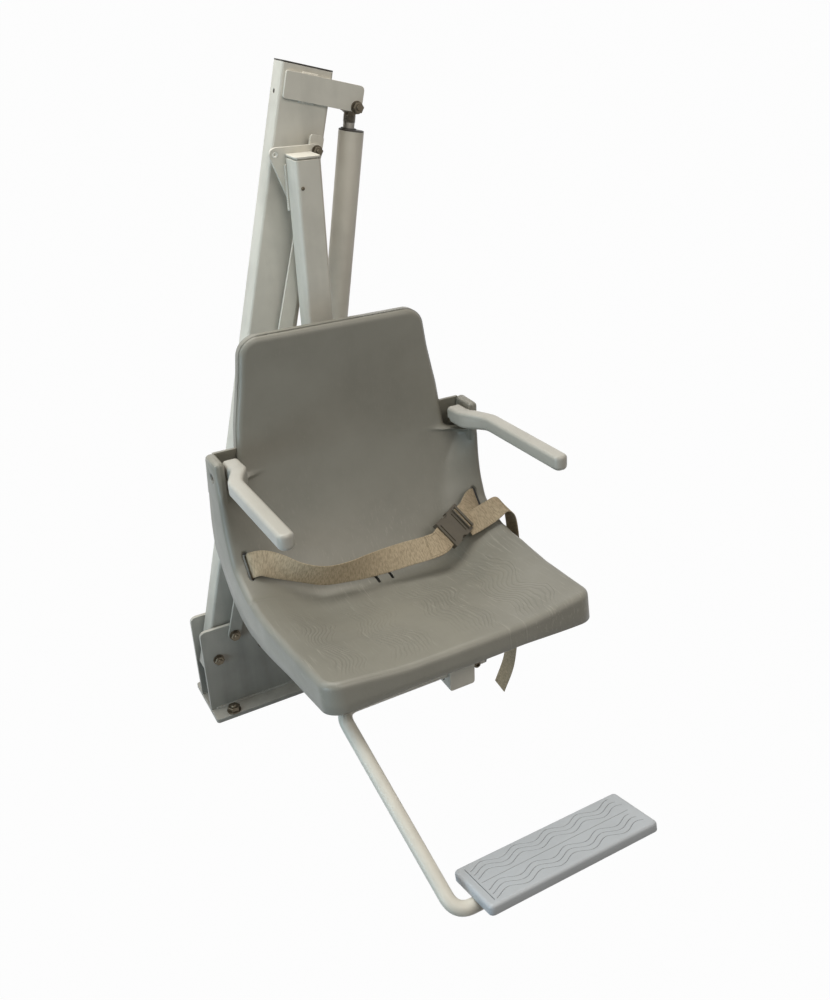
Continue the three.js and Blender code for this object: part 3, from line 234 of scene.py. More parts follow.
class Finish(Tree):
    """A material on the Principled shader, with patterns on Object coordinates or the UV map"""

    def __init__(self, name, **constants):
        self.material = bpy.data.materials.new(name)
        self.material.use_nodes = True
        super().__init__(self.material.node_tree)
        self.shader = next(n for n in self.nodes.nodes if n.type == "BSDF_PRINCIPLED")
        self.coordinates = self.node("ShaderNodeTexCoord")
        self.use(**constants)

    def place(self, scale=(1, 1, 1), turn=(0, 0, 0), shift=(0, 0, 0), source="Object"):
        where = Value(self, self.coordinates.outputs[source])
        return self.out("ShaderNodeMapping", {"Vector": where, "Scale": scale, "Rotation": turn, "Location": shift})

    def noise(self, fineness, detail=3.0, rough=0.5, **where):
        return self.out("ShaderNodeTexNoise", {"Vector": self.place(**where), "Scale": fineness, "Detail": detail,
                                               "Roughness": rough})

    def spread(self, value, low, high, start=0.0, end=1.0):
        return self.out("ShaderNodeMapRange", {0: value, 1: low, 2: high, 3: start, 4: end}, clamp=True)

    def shades(self, factor, key, first, second):
        return self.mix(factor, paint(key, first), paint(key, second))

    def toned(self, factor, tint, key, shade):
        return self.mix(factor, tint, paint(key, shade))

    def axis(self, source="Object"):
        parts = self.node("ShaderNodeSeparateXYZ", {0: Value(self, self.coordinates.outputs[source])})
        return [Value(self, output) for output in parts.outputs]

    def bump(self, height, distance, strength, over=None):
        below = {} if over is None else {"Normal": over}
        return self.out("ShaderNodeBump", {"Height": height, "Distance": distance, "Strength": strength, **below})

    def use(self, **values):
        for name, value in values.items():
            self.put(self.shader.inputs[name.replace("_", " ")], value)
        return self.material


def powder_coat(name="powder_coat", soil_and_shade=1.0):
    """Light grey coating: fine orange peel, faint blotches, grime in streaks, and painted shade with grime that darkens
    it towards the floor
    """
    t = Finish(name, Specular_IOR_Level=0.45)
    blotch = t.noise(9.0, 4.0, 0.6)
    streak = t.noise(26.0, 3.0, 0.55, scale=(1, 1, 0.12))
    # Darker towards the floor: painted shade near the deck, together with grime
    low = t.spread(t.axis()[2], 0.40, 0.10) * soil_and_shade
    grime_and_low_shade = t.spread(streak * 0.6 + blotch * 0.4, 0.46, 0.68) * (low * 0.45 + 0.16 * soil_and_shade)
    tint = t.shades(t.spread(blotch, 0.35, 0.7), "coat", 1.03, 0.93)
    # Tint darkened towards the floor (painted shade with grime) and in grime streaks
    tint = t.toned(grime_and_low_shade, t.toned(low * 0.85, tint, "coat", 0.38), "coat", 0.30)
    rough = t.spread(blotch, 0.3, 0.7, 0.40, 0.52) + grime_and_low_shade * 0.15
    normal = t.bump(t.noise(620.0, 1.0), 0.00022, 0.30, t.bump(t.noise(38.0, 2.0), 0.0006, 0.22))
    return t.use(Base_Color=tint, Roughness=rough, Normal=normal)


def moulded(name, key, grain, rough, scratch, groove_shading=0.0):
    """Moulded plastic: fine grain, cloudy tone, light scratches and painted shade in its grooves"""
    t = Finish(name, Specular_IOR_Level=0.4)
    cloud = t.noise(7.0, 4.0, 0.6)
    marks = t.noise(210.0, 2.0, 0.7, scale=(1.0, 0.06, 0.35))
    scuffs = t.spread(marks, 0.62, 0.74) * t.spread(cloud, 0.4, 0.65) * scratch
    tint = t.toned(scuffs, t.shades(t.spread(cloud, 0.32, 0.7), key, 1.04, 0.92), key, 1.35)
    if groove_shading:
        # Grooves painted darker from the board's groove attribute: painted shade in the grooves
        groove_shade_share = t.out("ShaderNodeAttribute", output=2, attribute_name="groove")
        tint = t.toned(groove_shade_share * groove_shading, tint, key, 0.12)
    normal = t.bump(t.noise(grain, 2.0), 0.00025, 0.45, t.bump(marks, 0.0003, 0.25))
    return t.use(Base_Color=tint, Roughness=t.spread(cloud, 0.3, 0.7, *rough) + scuffs * 0.2, Normal=normal)


def seat_plastic():
    """Seat shell: grained plastic with groups of wavy grooved lines on the pan, darkened as painted shade in the
    grooves, and two witness lines at its front
    """
    t = Finish("seat_plastic", Specular_IOR_Level=0.42)
    across, out, height = t.axis()
    cloud = t.noise(6.0, 4.0, 0.6)
    marks = t.noise(230.0, 3.0, 0.75, scale=(1.0, 0.05, 0.3), turn=(0, 0, 0.5))
    pan = t.spread(height, 0.52, 0.46)
    scuffs = t.spread(marks, 0.56, 0.70) * t.spread(cloud, 0.40, 0.60) * (pan * 0.40 + 0.12)
    on_pan = t.spread(height, 0.50, 0.47) * t.spread(out, -0.36, -0.40) * t.spread(out, -0.640, -0.61)
    on_pan = on_pan * t.spread(t.math("ABSOLUTE", across - SEAT_MIDDLE), 0.232, 0.215)
    drift = t.noise(11.0, 2.0, shift=(3.0, 1.0, 0.0)) * 0.05
    path = across + (t.math("SINE", out * 46.0) * 0.010 + drift) - SEAT_MIDDLE
    line_spacing, group_spacing = 0.0078, 0.124
    in_group = t.spread(t.math("PINGPONG", path, group_spacing / 2), 0.020, 0.027)
    line = t.spread(t.math("PINGPONG", path, line_spacing / 2), 0.0021, 0.0006)
    line = line * in_group * on_pan * t.spread(cloud, 0.30, 0.55)
    seam = (t.spread(t.math("ABSOLUTE", across - 0.386), 0.0020, 0.0008)
            + t.spread(t.math("ABSOLUTE", across - 0.352), 0.0016, 0.0006)) * t.spread(out, -0.610, -0.63)
    tint = t.toned(scuffs, t.shades(t.spread(cloud, 0.32, 0.7), "seat", 1.07, 0.88), "seat", 1.6)
    # The wavy grooves are painted darker: painted shade in the grooves
    tint = t.toned(line * 0.24, tint, "seat", 0.55)
    tint = t.toned(t.math("MINIMUM", seam, 1.0) * 0.14, tint, "seat", 1.5)
    grain = t.bump(t.noise(800.0, 2.0), 0.0003, 0.4, t.bump(marks, 0.0004, 0.3))
    rough = t.spread(cloud, 0.3, 0.7, 0.30, 0.44) + scuffs * 0.25
    return t.use(Base_Color=tint, Roughness=rough, Normal=t.bump(seam * 0.4 - line, 0.0008, 0.55, grain))


def brushed(name, key, rough=0.34, stain=0.35):
    """Plain metal: fine turning marks, stains and uneven polish"""
    t = Finish(name, Metallic=1.0)
    fine = t.noise(900.0, 2.0, scale=(1.0, 0.2, 1.0))
    dull = t.spread(t.noise(60.0, 4.0, 0.6), 0.45, 0.7) * stain
    polish = t.spread(fine, 0.3, 0.7, rough - 0.06, rough + 0.08)
    return t.use(Base_Color=t.shades(dull, key, 1.0, 0.45), Roughness=polish + dull * 0.3,
                 Normal=t.bump(fine, 0.0001, 0.4))


def plain_plastic(name, key, rough=0.5):
    """Small moulded parts: fine grain, dust and worn tone"""
    t = Finish(name, Specular_IOR_Level=0.45)
    dust = t.spread(t.noise(45.0, 3.0, 0.6), 0.42, 0.72) * 0.35
    return t.use(Base_Color=t.shades(dust, key, 1.0, 1.5), Roughness=rough + dust * 0.25,
                 Normal=t.bump(t.noise(1400.0, 2.0), 0.0002, 0.5))


def webbing():
    """Woven belt: ribs across, yarns along, selvedges, mottled yarn and creases with painted shade in them, on the
    strap's own UV map
    """
    t = Finish("webbing", Specular_IOR_Level=0.2)
    along, across, _ = t.axis("UV")
    yarn_pitch, rib_pitch = 0.0017, 0.0026
    yarn = t.math("SINE", across * (2 * math.pi / yarn_pitch))
    rib = t.math("SINE", along * (2 * math.pi / rib_pitch) + t.math("SIGN", yarn) * (math.pi / 2))
    weave = rib * 0.5 + t.math("ABSOLUTE", yarn) * 0.5
    edge = t.spread(t.math("ABSOLUTE", across), 0.0205, 0.0225)
    fuzz = t.noise(900.0, 2.0, source="UV")
    mottle = t.noise(70.0, 4.0, 0.65, source="UV")
    crease = t.noise(430.0, 2.0, 0.6, source="UV", scale=(1.0, 0.24, 1.0))
    tint = t.shades(t.spread(weave, -0.6, 1.0) * 0.75 + 0.25 * fuzz, "webbing", 0.66, 1.12)
    tint = t.toned(t.spread(mottle, 0.4, 0.7) * 0.35, tint, "webbing", 0.72)
    tint = t.toned(edge * 0.35, tint, "webbing", 0.8)
    # Creases painted darker: painted shade in the webbing's creases
    tint = t.mix(t.spread(crease, 0.38, 0.58), paint("webbing", 0.62), tint)
    normal = t.bump(weave + fuzz * 0.3, 0.0005, 0.6, t.bump(crease, 0.0012, 0.7))
    return t.use(Base_Color=tint, Roughness=t.spread(mottle, 0.3, 0.7, 0.78, 0.92), Normal=normal)


def thread():
    """Sewing thread: twisted and a little darker than the webbing"""
    t = Finish("thread", Specular_IOR_Level=0.2)
    twist = t.noise(2400.0, 1.0)
    return t.use(Base_Color=t.shades(twist, "thread", 0.8, 1.2), Roughness=0.85, Normal=t.bump(twist, 0.0002, 0.5))


def rubber():
    """Stop sleeve, and the dark pad under the drains that paints the shade there: dull, with bloom and scuffs"""
    t = Finish("rubber", Specular_IOR_Level=0.25)
    bloom = t.noise(70.0, 4.0, 0.65)
    return t.use(Base_Color=t.shades(t.spread(bloom, 0.4, 0.75) * 0.5, "rubber", 1.0, 2.1),
                 Roughness=t.spread(bloom, 0.3, 0.7, 0.7, 0.9), Normal=t.bump(t.noise(700.0, 2.0), 0.0003, 0.5))


MATERIALS = {
    "powder_coat": powder_coat,
    # The tube's coat: little grime, and little of the coat's painted shade towards the floor
    "clean_coat": lambda: powder_coat("clean_coat", 0.12),
    "seat_plastic": seat_plastic,
    "arm_plastic": lambda: moulded("arm_plastic", "arm", 800.0, (0.27, 0.38), 0.4),
    "pad_plastic": lambda: moulded("pad_plastic", "board", 1100.0, (0.40, 0.54), 0.3, 0.85),
    "stainless": lambda: brushed("stainless", "steel"),
    "dark_steel": lambda: brushed("dark_steel", "dark_steel", 0.42, 0.5),
    "rod_steel": lambda: brushed("rod_steel", "rod", 0.44, 0.25),
    "black_plastic": lambda: plain_plastic("black_plastic", "black"),
    "buckle_plastic": lambda: plain_plastic("buckle_plastic", "buckle", 0.46),
    "webbing": webbing,
    "thread": thread,
    "rubber": rubber,
    "nylon": lambda: plain_plastic("nylon", "nylon", 0.48),
}
FINISHED = {}


def material(name):
    """The finish of that name, made once; the frame's own materials have other names"""
    if name not in FINISHED:
        FINISHED[name] = MATERIALS[name]()
        FINISHED[name].name = f"{name}_finish"
    return FINISHED[name]


# ---------------------------------------------------------------- mesh helpers

def new_object(name, data):
    made = bpy.data.objects.new(name, data)
    bpy.context.scene.collection.objects.link(made)
    return made


def mesh_from(name, points, faces=(), edges=()):
    mesh = bpy.data.meshes.new(name)
    mesh.from_pydata([tuple(p) for p in points], edges, faces)
    if len(faces):
        mesh.validate()
    return mesh


def facing_out(mesh, merge=0.0):
    """Turns a mesh's faces outward, with the points that lie within merge made one"""
    work = bmesh.new()
    work.from_mesh(mesh)
    if merge:
        bmesh.ops.remove_doubles(work, verts=work.verts, dist=merge)
    bmesh.ops.recalc_face_normals(work, faces=work.faces)
    work.to_mesh(mesh)
    work.free()
    return mesh


def dress(piece, body, finish, nodes=()):
    """Gives a finished piece its material and body, and hides the nodes that it stands for"""
    piece.data.materials.clear()
    piece.data.materials.append(material(finish))
    if body:
        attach(piece, body)
    if nodes:
        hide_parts(*nodes)
    return piece


def shade_by_angle(piece, degrees):
    piece.data.polygons.foreach_set("use_smooth", [True] * len(piece.data.polygons))
    piece.data.set_sharp_from_angle(angle=math.radians(degrees))


def merged(node, name):
    """A closed, dissolved copy of a CAD node's mesh"""
    work = bmesh.new()
    work.from_mesh(frame["nodes"][node].data)
    bmesh.ops.remove_doubles(work, verts=work.verts, dist=2e-6)
    bmesh.ops.dissolve_limit(work, angle_limit=math.radians(0.4), verts=work.verts, edges=work.edges)
    bmesh.ops.recalc_face_normals(work, faces=work.faces)
    mesh = bpy.data.meshes.new(name)
    work.to_mesh(mesh)
    work.free()
    return mesh


def add_bevel(piece, width, segments=3, degrees=35):
    bevel = piece.modifiers.new("Rounded edges", "BEVEL")
    bevel.width, bevel.segments = width, segments
    bevel.limit_method = "ANGLE"
    bevel.angle_limit = math.radians(degrees)
    bevel.harden_normals = True
    bevel.miter_outer = "MITER_ARC"


def applied(piece):
    """Turns what a piece's modifiers show into its plain mesh"""
    seen = bpy.context.evaluated_depsgraph_get()
    old, piece_mesh = piece.data, bpy.data.meshes.new_from_object(piece.evaluated_get(seen))
    piece.modifiers.clear()
    piece.data = piece_mesh
    bpy.data.meshes.remove(old)
    return piece


def rounded_copy(name, node, body, finish, width, degrees=40, smooth=45, change=None):
    """A CAD node's copy with rounded edges, in its place; change may move its points first"""
    piece = new_object(name, merged(node, name))
    if change:
        for vertex in piece.data.vertices:
            vertex.co = change(vertex.co)
    shade_by_angle(piece, smooth)
    add_bevel(piece, width, 3, degrees)
    return dress(piece, body, finish, [node])


def ring_faces(rows, count, closed=False):
    """Quads between rows of count points, and a cap on both ends unless the last row meets the first"""
    corners = ((0, 0), (0, 1), (1, 1), (1, 0))
    caps = [] if closed else [list(range(count))[::-1], list(range((rows - 1) * count, rows * count))]
    return caps + [[(k + row) % rows * count + (j + step) % count for row, step in corners]
                   for k in range(rows if closed else rows - 1) for j in range(count)]


def lathe(profile, sides, place, direction):
    """A turned part: (radius, height) pairs round an axis through place"""
    turn = Vector((0, 0, 1)).rotation_difference(Vector(direction)).to_matrix()
    rings, points, faces = [], [], []
    for radius, height in profile:
        count = sides if radius > 1e-7 else 1
        rings.append(list(range(len(points), len(points) + count)))
        for k in range(count):
            angle = 2 * math.pi * k / sides
            spot = Vector((radius * math.cos(angle), radius * math.sin(angle), height))
            points.append(turn @ spot + Vector(place))
    for low, high in zip(rings, rings[1:]):
        for k in range(sides):
            n = (k + 1) % sides
            quad = [low[k % len(low)], low[n % len(low)], high[n % len(high)], high[k % len(high)]]
            face = list(dict.fromkeys(quad))
            if len(face) > 2:
                faces.append(face)
    return points, faces


def lathes(parts):
    """Several turned parts in one mesh, each a (profile, sides, place, direction)"""
    points, faces = [], []
    for part in parts:
        start = len(points)
        more, part_faces = lathe(*part)
        points += more
        faces += [[index + start for index in face] for face in part_faces]
    return points, faces


def tool_object(name, points, faces, edge=0.0):
    piece = new_object(name, facing_out(mesh_from(name, points, faces)))
    if edge:
        add_bevel(piece, edge, 4, 20)
        applied(piece)
    return piece


def turned_piece(name, parts, body, finish, nodes=()):
    piece = tool_object(name, *lathes(parts))
    shade_by_angle(piece, 35)
    return dress(piece, body, finish, nodes)


def rounded_rod(radius, start, end, edge):
    """(radius, height) pairs of a rod with rounded ends"""
    turns = [math.pi / 8 * k for k in range(5)]
    foot = [(radius - edge + edge * math.sin(a), start + edge - edge * math.cos(a)) for a in turns]
    head = [(radius - edge + edge * math.cos(a), end - edge + edge * math.sin(a)) for a in turns]
    return [(0.0, start)] + foot + head + [(0.0, end)]


def combine(piece, tool, operation):
    change = piece.modifiers.new(operation, "BOOLEAN")
    change.operation, change.solver, change.object = operation, "MANIFOLD", tool
    applied(piece)
    bpy.data.objects.remove(tool)


def smoothstep(value, low, high):
    share = np.clip((value - low) / (high - low), 0, 1)
    return share * share * (3 - 2 * share)


def corner_draw(distance, radius):
    """How far a rounded corner of that radius draws in, at a distance from its end"""
    reach = radius - np.clip(distance, 0, radius)
    return radius - np.sqrt(radius ** 2 - reach ** 2)


# ---------------------------------------------------------------- geometry node trees

def geometry_tree(name, inputs):
    """A geometry tree with named inputs, returned with its group input values"""
    group = bpy.data.node_groups.new(name, "GeometryNodeTree")

    def socket(label, kind, way="INPUT"):
        return group.interface.new_socket(label, in_out=way, socket_type=f"NodeSocket{kind}")

    socket("Geometry", "Geometry")
    for label, default in inputs.items():
        if isinstance(default, bpy.types.Material):
            socket(label, "Material")
        else:
            socket(label, "Float").default_value = default
    socket("Geometry", "Geometry", "OUTPUT")
    tree = Tree(group)
    entry = tree.node("NodeGroupInput")
    return tree, {label: Value(tree, entry.outputs[label]) for label in ["Geometry", *inputs]}


def finish_tree(tree, geometry, finish):
    real = tree.out("GeometryNodeRealizeInstances", {0: geometry})
    tree.node("NodeGroupOutput", {0: tree.out("GeometryNodeSetMaterial", {"Geometry": real, "Material": finish})})
    return tree


def run_tree(piece, tree, inputs):
    """Puts the tree on a piece, sets its inputs by their identifiers and keeps the plain result"""
    modifier = piece.modifiers.new(tree.nodes.name, "NODES")
    modifier.node_group = tree.nodes
    for item in tree.nodes.interface.items_tree:
        if item.in_out == "INPUT" and item.name in inputs:
            modifier[item.identifier] = inputs[item.name]
    return applied(piece)


def line_mesh(name, lines):
    points, edges = [], []
    for line in lines:
        edges += [(k, k + 1) for k in range(len(points), len(points) + len(line) - 1)]
        points += line
    return mesh_from(name, points, edges=edges)


HEAD_SHARES = {"Head height": 0.40, "Washer radius": 0.63, "Washer thickness": 0.132, "Tip length": 0.158,
               "Chamfer": 0.07}


def fastener_tree(finish):
    """Hexagon heads on washers, with a chamfered top and the stud's end, at points that give their
    turn, width across flats, shank radius and shank length"""
    tree, given = geometry_tree("Fasteners", {**HEAD_SHARES, "Finish": finish})
    corner, seat = 0.5 / math.cos(math.pi / 6), given["Washer thickness"]
    body = given["Head height"] - given["Chamfer"]
    washer = tree.raised(tree.cylinder(40, given["Washer radius"], seat), seat * 0.5)
    prism = tree.raised(tree.cylinder(6, corner, body), body * 0.5 + seat)
    crown = tree.raised(tree.cone(6, corner - 0.075, corner, given["Chamfer"]), body + seat)
    head = tree.out("GeometryNodeMergeByDistance", {0: tree.joined(prism, crown), "Distance": 0.002})
    shank = tree.raised(tree.cylinder(24, 1.0, 1.0), -0.5)
    tip = tree.raised(tree.cone(24, 0.24, 0.3, given["Tip length"]), given["Head height"] + seat)
    across, bore, reach = (tree.named("FLOAT", label) for label in ("across", "bore", "reach"))
    long = tree.out("ShaderNodeCombineXYZ", {0: bore, 1: bore, 2: reach})
    with_tip = tree.out("FunctionNodeCompare", {0: tree.named("FLOAT", "tip"), 1: 0.5})
    parts = [tree.out("GeometryNodeInstanceOnPoints", {
        "Points": given["Geometry"], "Instance": part, "Rotation": tree.named("FLOAT_VECTOR", "turn"),
        "Scale": scale, "Selection": chosen})
        for part, scale, chosen in ((tree.joined(washer, head), across, True), (shank, long, True),
                                    (tip, across, with_tip))]
    return finish_tree(tree, tree.joined(*parts), given["Finish"])


def fasteners(name, rows, body, finish, nodes):
    """Rows are (place of the washer's underside, outward direction, across, shank radius, reach, tip)"""
    places, ways, *numbers = zip(*rows)
    mesh = mesh_from(name, places)
    turns = [angle for way in ways for angle in Vector(way).to_track_quat("Z", "Y").to_euler()]
    mesh.attributes.new("turn", "FLOAT_VECTOR", "POINT").data.foreach_set("vector", turns)
    for label, values in zip(("across", "bore", "reach", "tip"), numbers):
        mesh.attributes.new(label, "FLOAT", "POINT").data.foreach_set("value", values)
    inputs = {**HEAD_SHARES, "Finish": material(finish)}
    piece = run_tree(new_object(name, mesh), fastener_tree(material(finish)), inputs)
    shade_by_angle(piece, 30)
    add_bevel(piece, 0.0004, 2, 40)
    return dress(piece, body, finish, nodes)


def weld_tree(inputs):
    """A rippled bead along edges: its ripples lie one pitch apart"""
    tree, given = geometry_tree("Weld beads", inputs)
    curve = tree.out("GeometryNodeMeshToCurve", {0: given["Geometry"]})
    curve = tree.out("GeometryNodeResampleCurve", {0: curve, "Length": given["Pitch"] * 0.25}, mode="LENGTH")
    wave = tree.math("SINE", tree.out("GeometryNodeInputIndex") * (math.pi / 2)) * given["Ripple"] + 1.0
    scale = wave * (1.0 - tree.out("GeometryNodeCurveEndpointSelection") * 0.5)
    ring = tree.out("GeometryNodeCurvePrimitiveCircle", {"Resolution": 10, "Radius": given["Width"] * 0.5},
                    mode="RADIUS")
    bead = tree.out("GeometryNodeCurveToMesh", {0: curve, 1: ring, "Fill Caps": True, "Scale": scale})
    return finish_tree(tree, tree.out("GeometryNodeSetShadeSmooth", {0: bead}), given["Finish"])


def weld_beads(name, lines, body):
    """Coated weld beads along lines that join plates and tubes"""
    values = {"Width": sizes().weld_width, "Pitch": sizes().weld_pitch, "Ripple": 0.13,
              "Finish": material("powder_coat")}
    dress(run_tree(new_object(name, line_mesh(name, lines)), weld_tree(values), values), body, "powder_coat")


def stitch_tree(inputs):
    """Short stitches along edges, which lie in the strap's face"""
    tree, given = geometry_tree("Stitches", inputs)
    curve = tree.out("GeometryNodeMeshToCurve", {0: given["Geometry"]})
    points = tree.node("GeometryNodeCurveToPoints", {0: curve, "Length": given["Pitch"]}, mode="LENGTH").outputs
    ball = tree.out("GeometryNodeMeshUVSphere", {"Segments": 6, "Rings": 4, "Radius": given["Radius"]})
    long = tree.out("ShaderNodeCombineXYZ", {0: 1.3, 1: 1.0, 2: given["Length"] / given["Radius"] * 0.5})
    stitches = tree.out("GeometryNodeInstanceOnPoints", {
        "Points": Value(tree, points[0]), "Instance": ball, "Rotation": Value(tree, points["Rotation"]),
        "Scale": long})
    return finish_tree(tree, tree.out("GeometryNodeSetShadeSmooth", {0: stitches}), given["Finish"])


# ---------------------------------------------------------------- the frame's measures

LEAN = math.radians(13.95)
PIVOT = Vector((0.0, 0.0, 0.138))
UP_MAST = Vector((math.sin(LEAN), 0.0, math.cos(LEAN)))
ACROSS_MAST = Vector((math.cos(LEAN), 0.0, -math.sin(LEAN)))
FOOT_PIN = Vector((0.2405, 0.0, 0.238))
ROD_PIN = Vector((0.41074, 0.0, 1.245649))
STROKE = (ROD_PIN - FOOT_PIN).normalized()
ARM_BACK, EAR_BACK, ARM_HEIGHT, ARM_BORE = -0.19701, -0.197, 0.650, 0.0053
SEAT_MIDDLE, SEAT_BACK, SEAT_DEPTH, SEAT_LOW, SEAT_HEIGHT, SEAT_HALF = 0.277, 0.165, 0.485, 0.408, 0.480, 0.276
SLOT_LEAN = math.radians(48.5)
SLOT_OUT = Vector((0.0, -math.sin(SLOT_LEAN), math.cos(SLOT_LEAN)))
SLOT_ALONG = Vector((0.0, math.cos(SLOT_LEAN), math.sin(SLOT_LEAN)))


def on_mast(across, up, back=0.0):
    """A point of the mast's own frame: across it, up from its pivot, behind its middle"""
    return PIVOT + ACROSS_MAST * across + UP_MAST * up + Vector((0.0, back, 0.0))


def middle(node):
    low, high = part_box(node)
    return (low + high) / 2


def arm_pivot(side, reach):
    return Vector((SEAT_MIDDLE + side * reach, ARM_BACK, ARM_HEIGHT))


def seat_place(across, out, up):
    return Vector((SEAT_MIDDLE + across * SEAT_HALF, -SEAT_BACK - out * SEAT_DEPTH, SEAT_LOW + up * SEAT_HEIGHT))


def slot_middle(side, shift=0.0):
    """The middle of a belt slot, moved inward by shift"""
    return Vector((SEAT_MIDDLE + side * (0.2485 - shift), *seat_place(0, 0.19485, 0.15938).yz))


# ---------------------------------------------------------------- seat shell

SEAT_WALL, SEAT_ROUND, BACK_CORNER, PAN_CORNER, PAN_BULGE, FRONT_RISE = 0.005, 0.012, 0.034, 0.030, 0.008, 0.30
PROFILE_SHARES = (
    (0, 1), (0.004, 0.827), (0.0124, 0.66), (0.031, 0.504), (0.066, 0.365), (0.1196, 0.233),
    (0.196, 0.108), (0.278, 0.027), (0.361, 0), (0.495, 0.0146), (0.68, 0.056), (0.841, 0.085), (1, 0.115),
)
SECTION_SHARES = (
    (0, 0, 0.087, 0.667, 0.7), (0.0965, 0, 0.087, 0.707, 0.7), (0.1895, 0, 0.087, 0.764, 0.7),
    (0.2773, 0, 0.094, 0.795, 0.7), (0.3025, 0, 0.094, 0.797, 0.7), (0.3115, 0.145, 0.235, 1, 0.91),
    (0.341, 0.13, 0.268, 1, 0.84), (0.3862, 0.098, 0.32, 1, 0.72), (0.437, 0.065, 0.37, 1, 0.66),
    (0.4932, 0.045, 0.31, 1, 0.58), (0.5538, 0.123, 0.348, 1, 0.5), (0.6065, 0.167, 0.304, 1, 0.46),
    (0.6338, 0.17, 0.275, 1, 0.45), (0.7099, 0.138, 0.239, 1, 0.42), (0.817, 0.0725, 0.21, 0.978, 0.4),
    (0.9712, 0.036, 0.2065, 0.9565, 0.4), (1, 0.033, 0.203, 0.9457, 0.4),
)
SEAT_COLUMNS, SEAT_ROWS, SEAT_TURNS, SLOT_SIDES, DRAIN_SIDES, DRAIN_TOP = 92, 150, 6, 24, 16, 0.413
EAR = ((-0.026, -0.054), (0.049, -0.054), (0.034, 0.036), (-0.026, 0.036))
POCKET = ((0.042, -0.052), (0.049, -0.052), (0.050, -0.022), (0.037, 0.034), (0.030, 0.034), (0.043, -0.022))
SLOT_ROWS = ((0.005, 0.028, -0.013), (0.005, 0.028, 0.0), (0.0064, 0.0294, 0.0018), (0.0064, 0.0294, 0.013))
# Rows of the dark liner that paints the shade inside a belt slot
SLOT_SHADE_ROWS = ((0.0049, 0.0279, -0.0115), (0.0049, 0.0279, 0.0002), (0.0043, 0.0273, 0.0002),
               (0.0043, 0.0273, -0.0115))


def cubic(t, start, end, slope0, slope1):
    """A point of the curve from start to end with those slopes"""
    return ((2 * start - 2 * end + slope0 + slope1) * t ** 3
            + (-3 * start + 3 * end - 2 * slope0 - slope1) * t ** 2 + slope0 * t + start)


def columns_at(where, run, table):
    return np.stack([np.interp(where, run, column) for column in np.transpose(table)], -1)


class SeatProfile:
    """The seat's middle line and how its cross section changes along it"""

    def __init__(self, samples=2400, blur=24):
        table = np.array(PROFILE_SHARES) * (-SEAT_DEPTH, SEAT_HEIGHT) + (-SEAT_BACK, SEAT_LOW)
        last = len(table) - 1
        where = np.linspace(0, last, samples)
        piece = np.minimum(where.astype(int), last - 1)
        before, start = table[np.maximum(piece - 1, 0)], table[piece]
        end, after = table[piece + 1], table[np.minimum(piece + 2, last)]
        self.line = cubic((where - piece)[:, None], start, end, (end - before) / 2, (after - start) / 2)
        run = np.r_[0, np.cumsum(np.linalg.norm(np.diff(self.line, axis=0), axis=1))]
        self.length = run[-1]
        self.share = run / self.length
        slope = np.gradient(self.line, self.share, axis=0)
        self.ahead = slope / np.linalg.norm(slope, axis=1)[:, None]
        rows = np.array(SECTION_SHARES)
        self.even = np.linspace(0, 1, 1201)
        kernel = np.exp(-0.5 * (np.arange(-blur, blur + 1) / 7.0) ** 2)
        kernel /= kernel.sum()
        self.columns = [np.convolve(np.pad(np.interp(self.even, rows[:, 0], rows[:, k]), blur, mode="edge"),
                                    kernel, mode="valid") for k in range(1, 5)]

    def at(self, share):
        """Place, direction, the section's rise, skirt and half width, and where its dish ends"""
        rise, skirt, half, dish = (np.interp(share, self.even, column) for column in self.columns)
        return (columns_at(share, self.share, self.line), columns_at(share, self.share, self.ahead),
                rise * SEAT_HALF, skirt * SEAT_HALF, half * SEAT_HALF, dish)


def shell_points(profile, across, along, inset, depth, at_skirt):
    """Points of the shell: across in -1..1 and along in 0..1, inset from the outline, below the top"""
    travel = inset + (profile.length - 2 * inset) * along
    share = travel / profile.length
    place, ahead, rise, skirt, half, dish = profile.at(share)
    drawn = corner_draw(travel - inset, BACK_CORNER - inset)
    drawn = drawn + corner_draw(profile.length - inset - travel, PAN_CORNER - inset)
    x = across * (half - inset - drawn)
    spread = np.abs(x) / half
    lift = rise * smoothstep(spread, dish, 1 - SEAT_ROUND / 2 / half)
    front = smoothstep(share, 0.93, 1.0) * (1 - smoothstep(spread, 0.35, 0.98))
    sink = skirt * at_skirt * (1 - FRONT_RISE * front) + depth - lift
    bulge = PAN_BULGE * smoothstep(share, 0.8, 1) * (1 - spread ** 2)
    return np.stack([SEAT_MIDDLE + x, place[..., 0] - ahead[..., 1] * sink - bulge,
                     place[..., 1] + ahead[..., 0] * sink], -1)


def grid_parts(shape):
    """Point numbers of a grid, its quads and the loop round its edge"""
    index = np.arange(shape[0] * shape[1]).reshape(shape)
    quads = np.stack([index[:-1, :-1], index[1:, :-1], index[1:, 1:], index[:-1, 1:]], -1).reshape(-1, 4)
    rim = np.r_[index[:, 0], index[-1, 1:], index[:-1, -1][::-1], index[0, 1:-1][::-1]]
    return quads, rim


def band_faces(rings):
    """Quads between loops of point numbers"""
    return [quad for low, high in zip(rings, rings[1:])
            for quad in np.stack([np.roll(low, -1), low, high, np.roll(high, -1)], -1).tolist()]


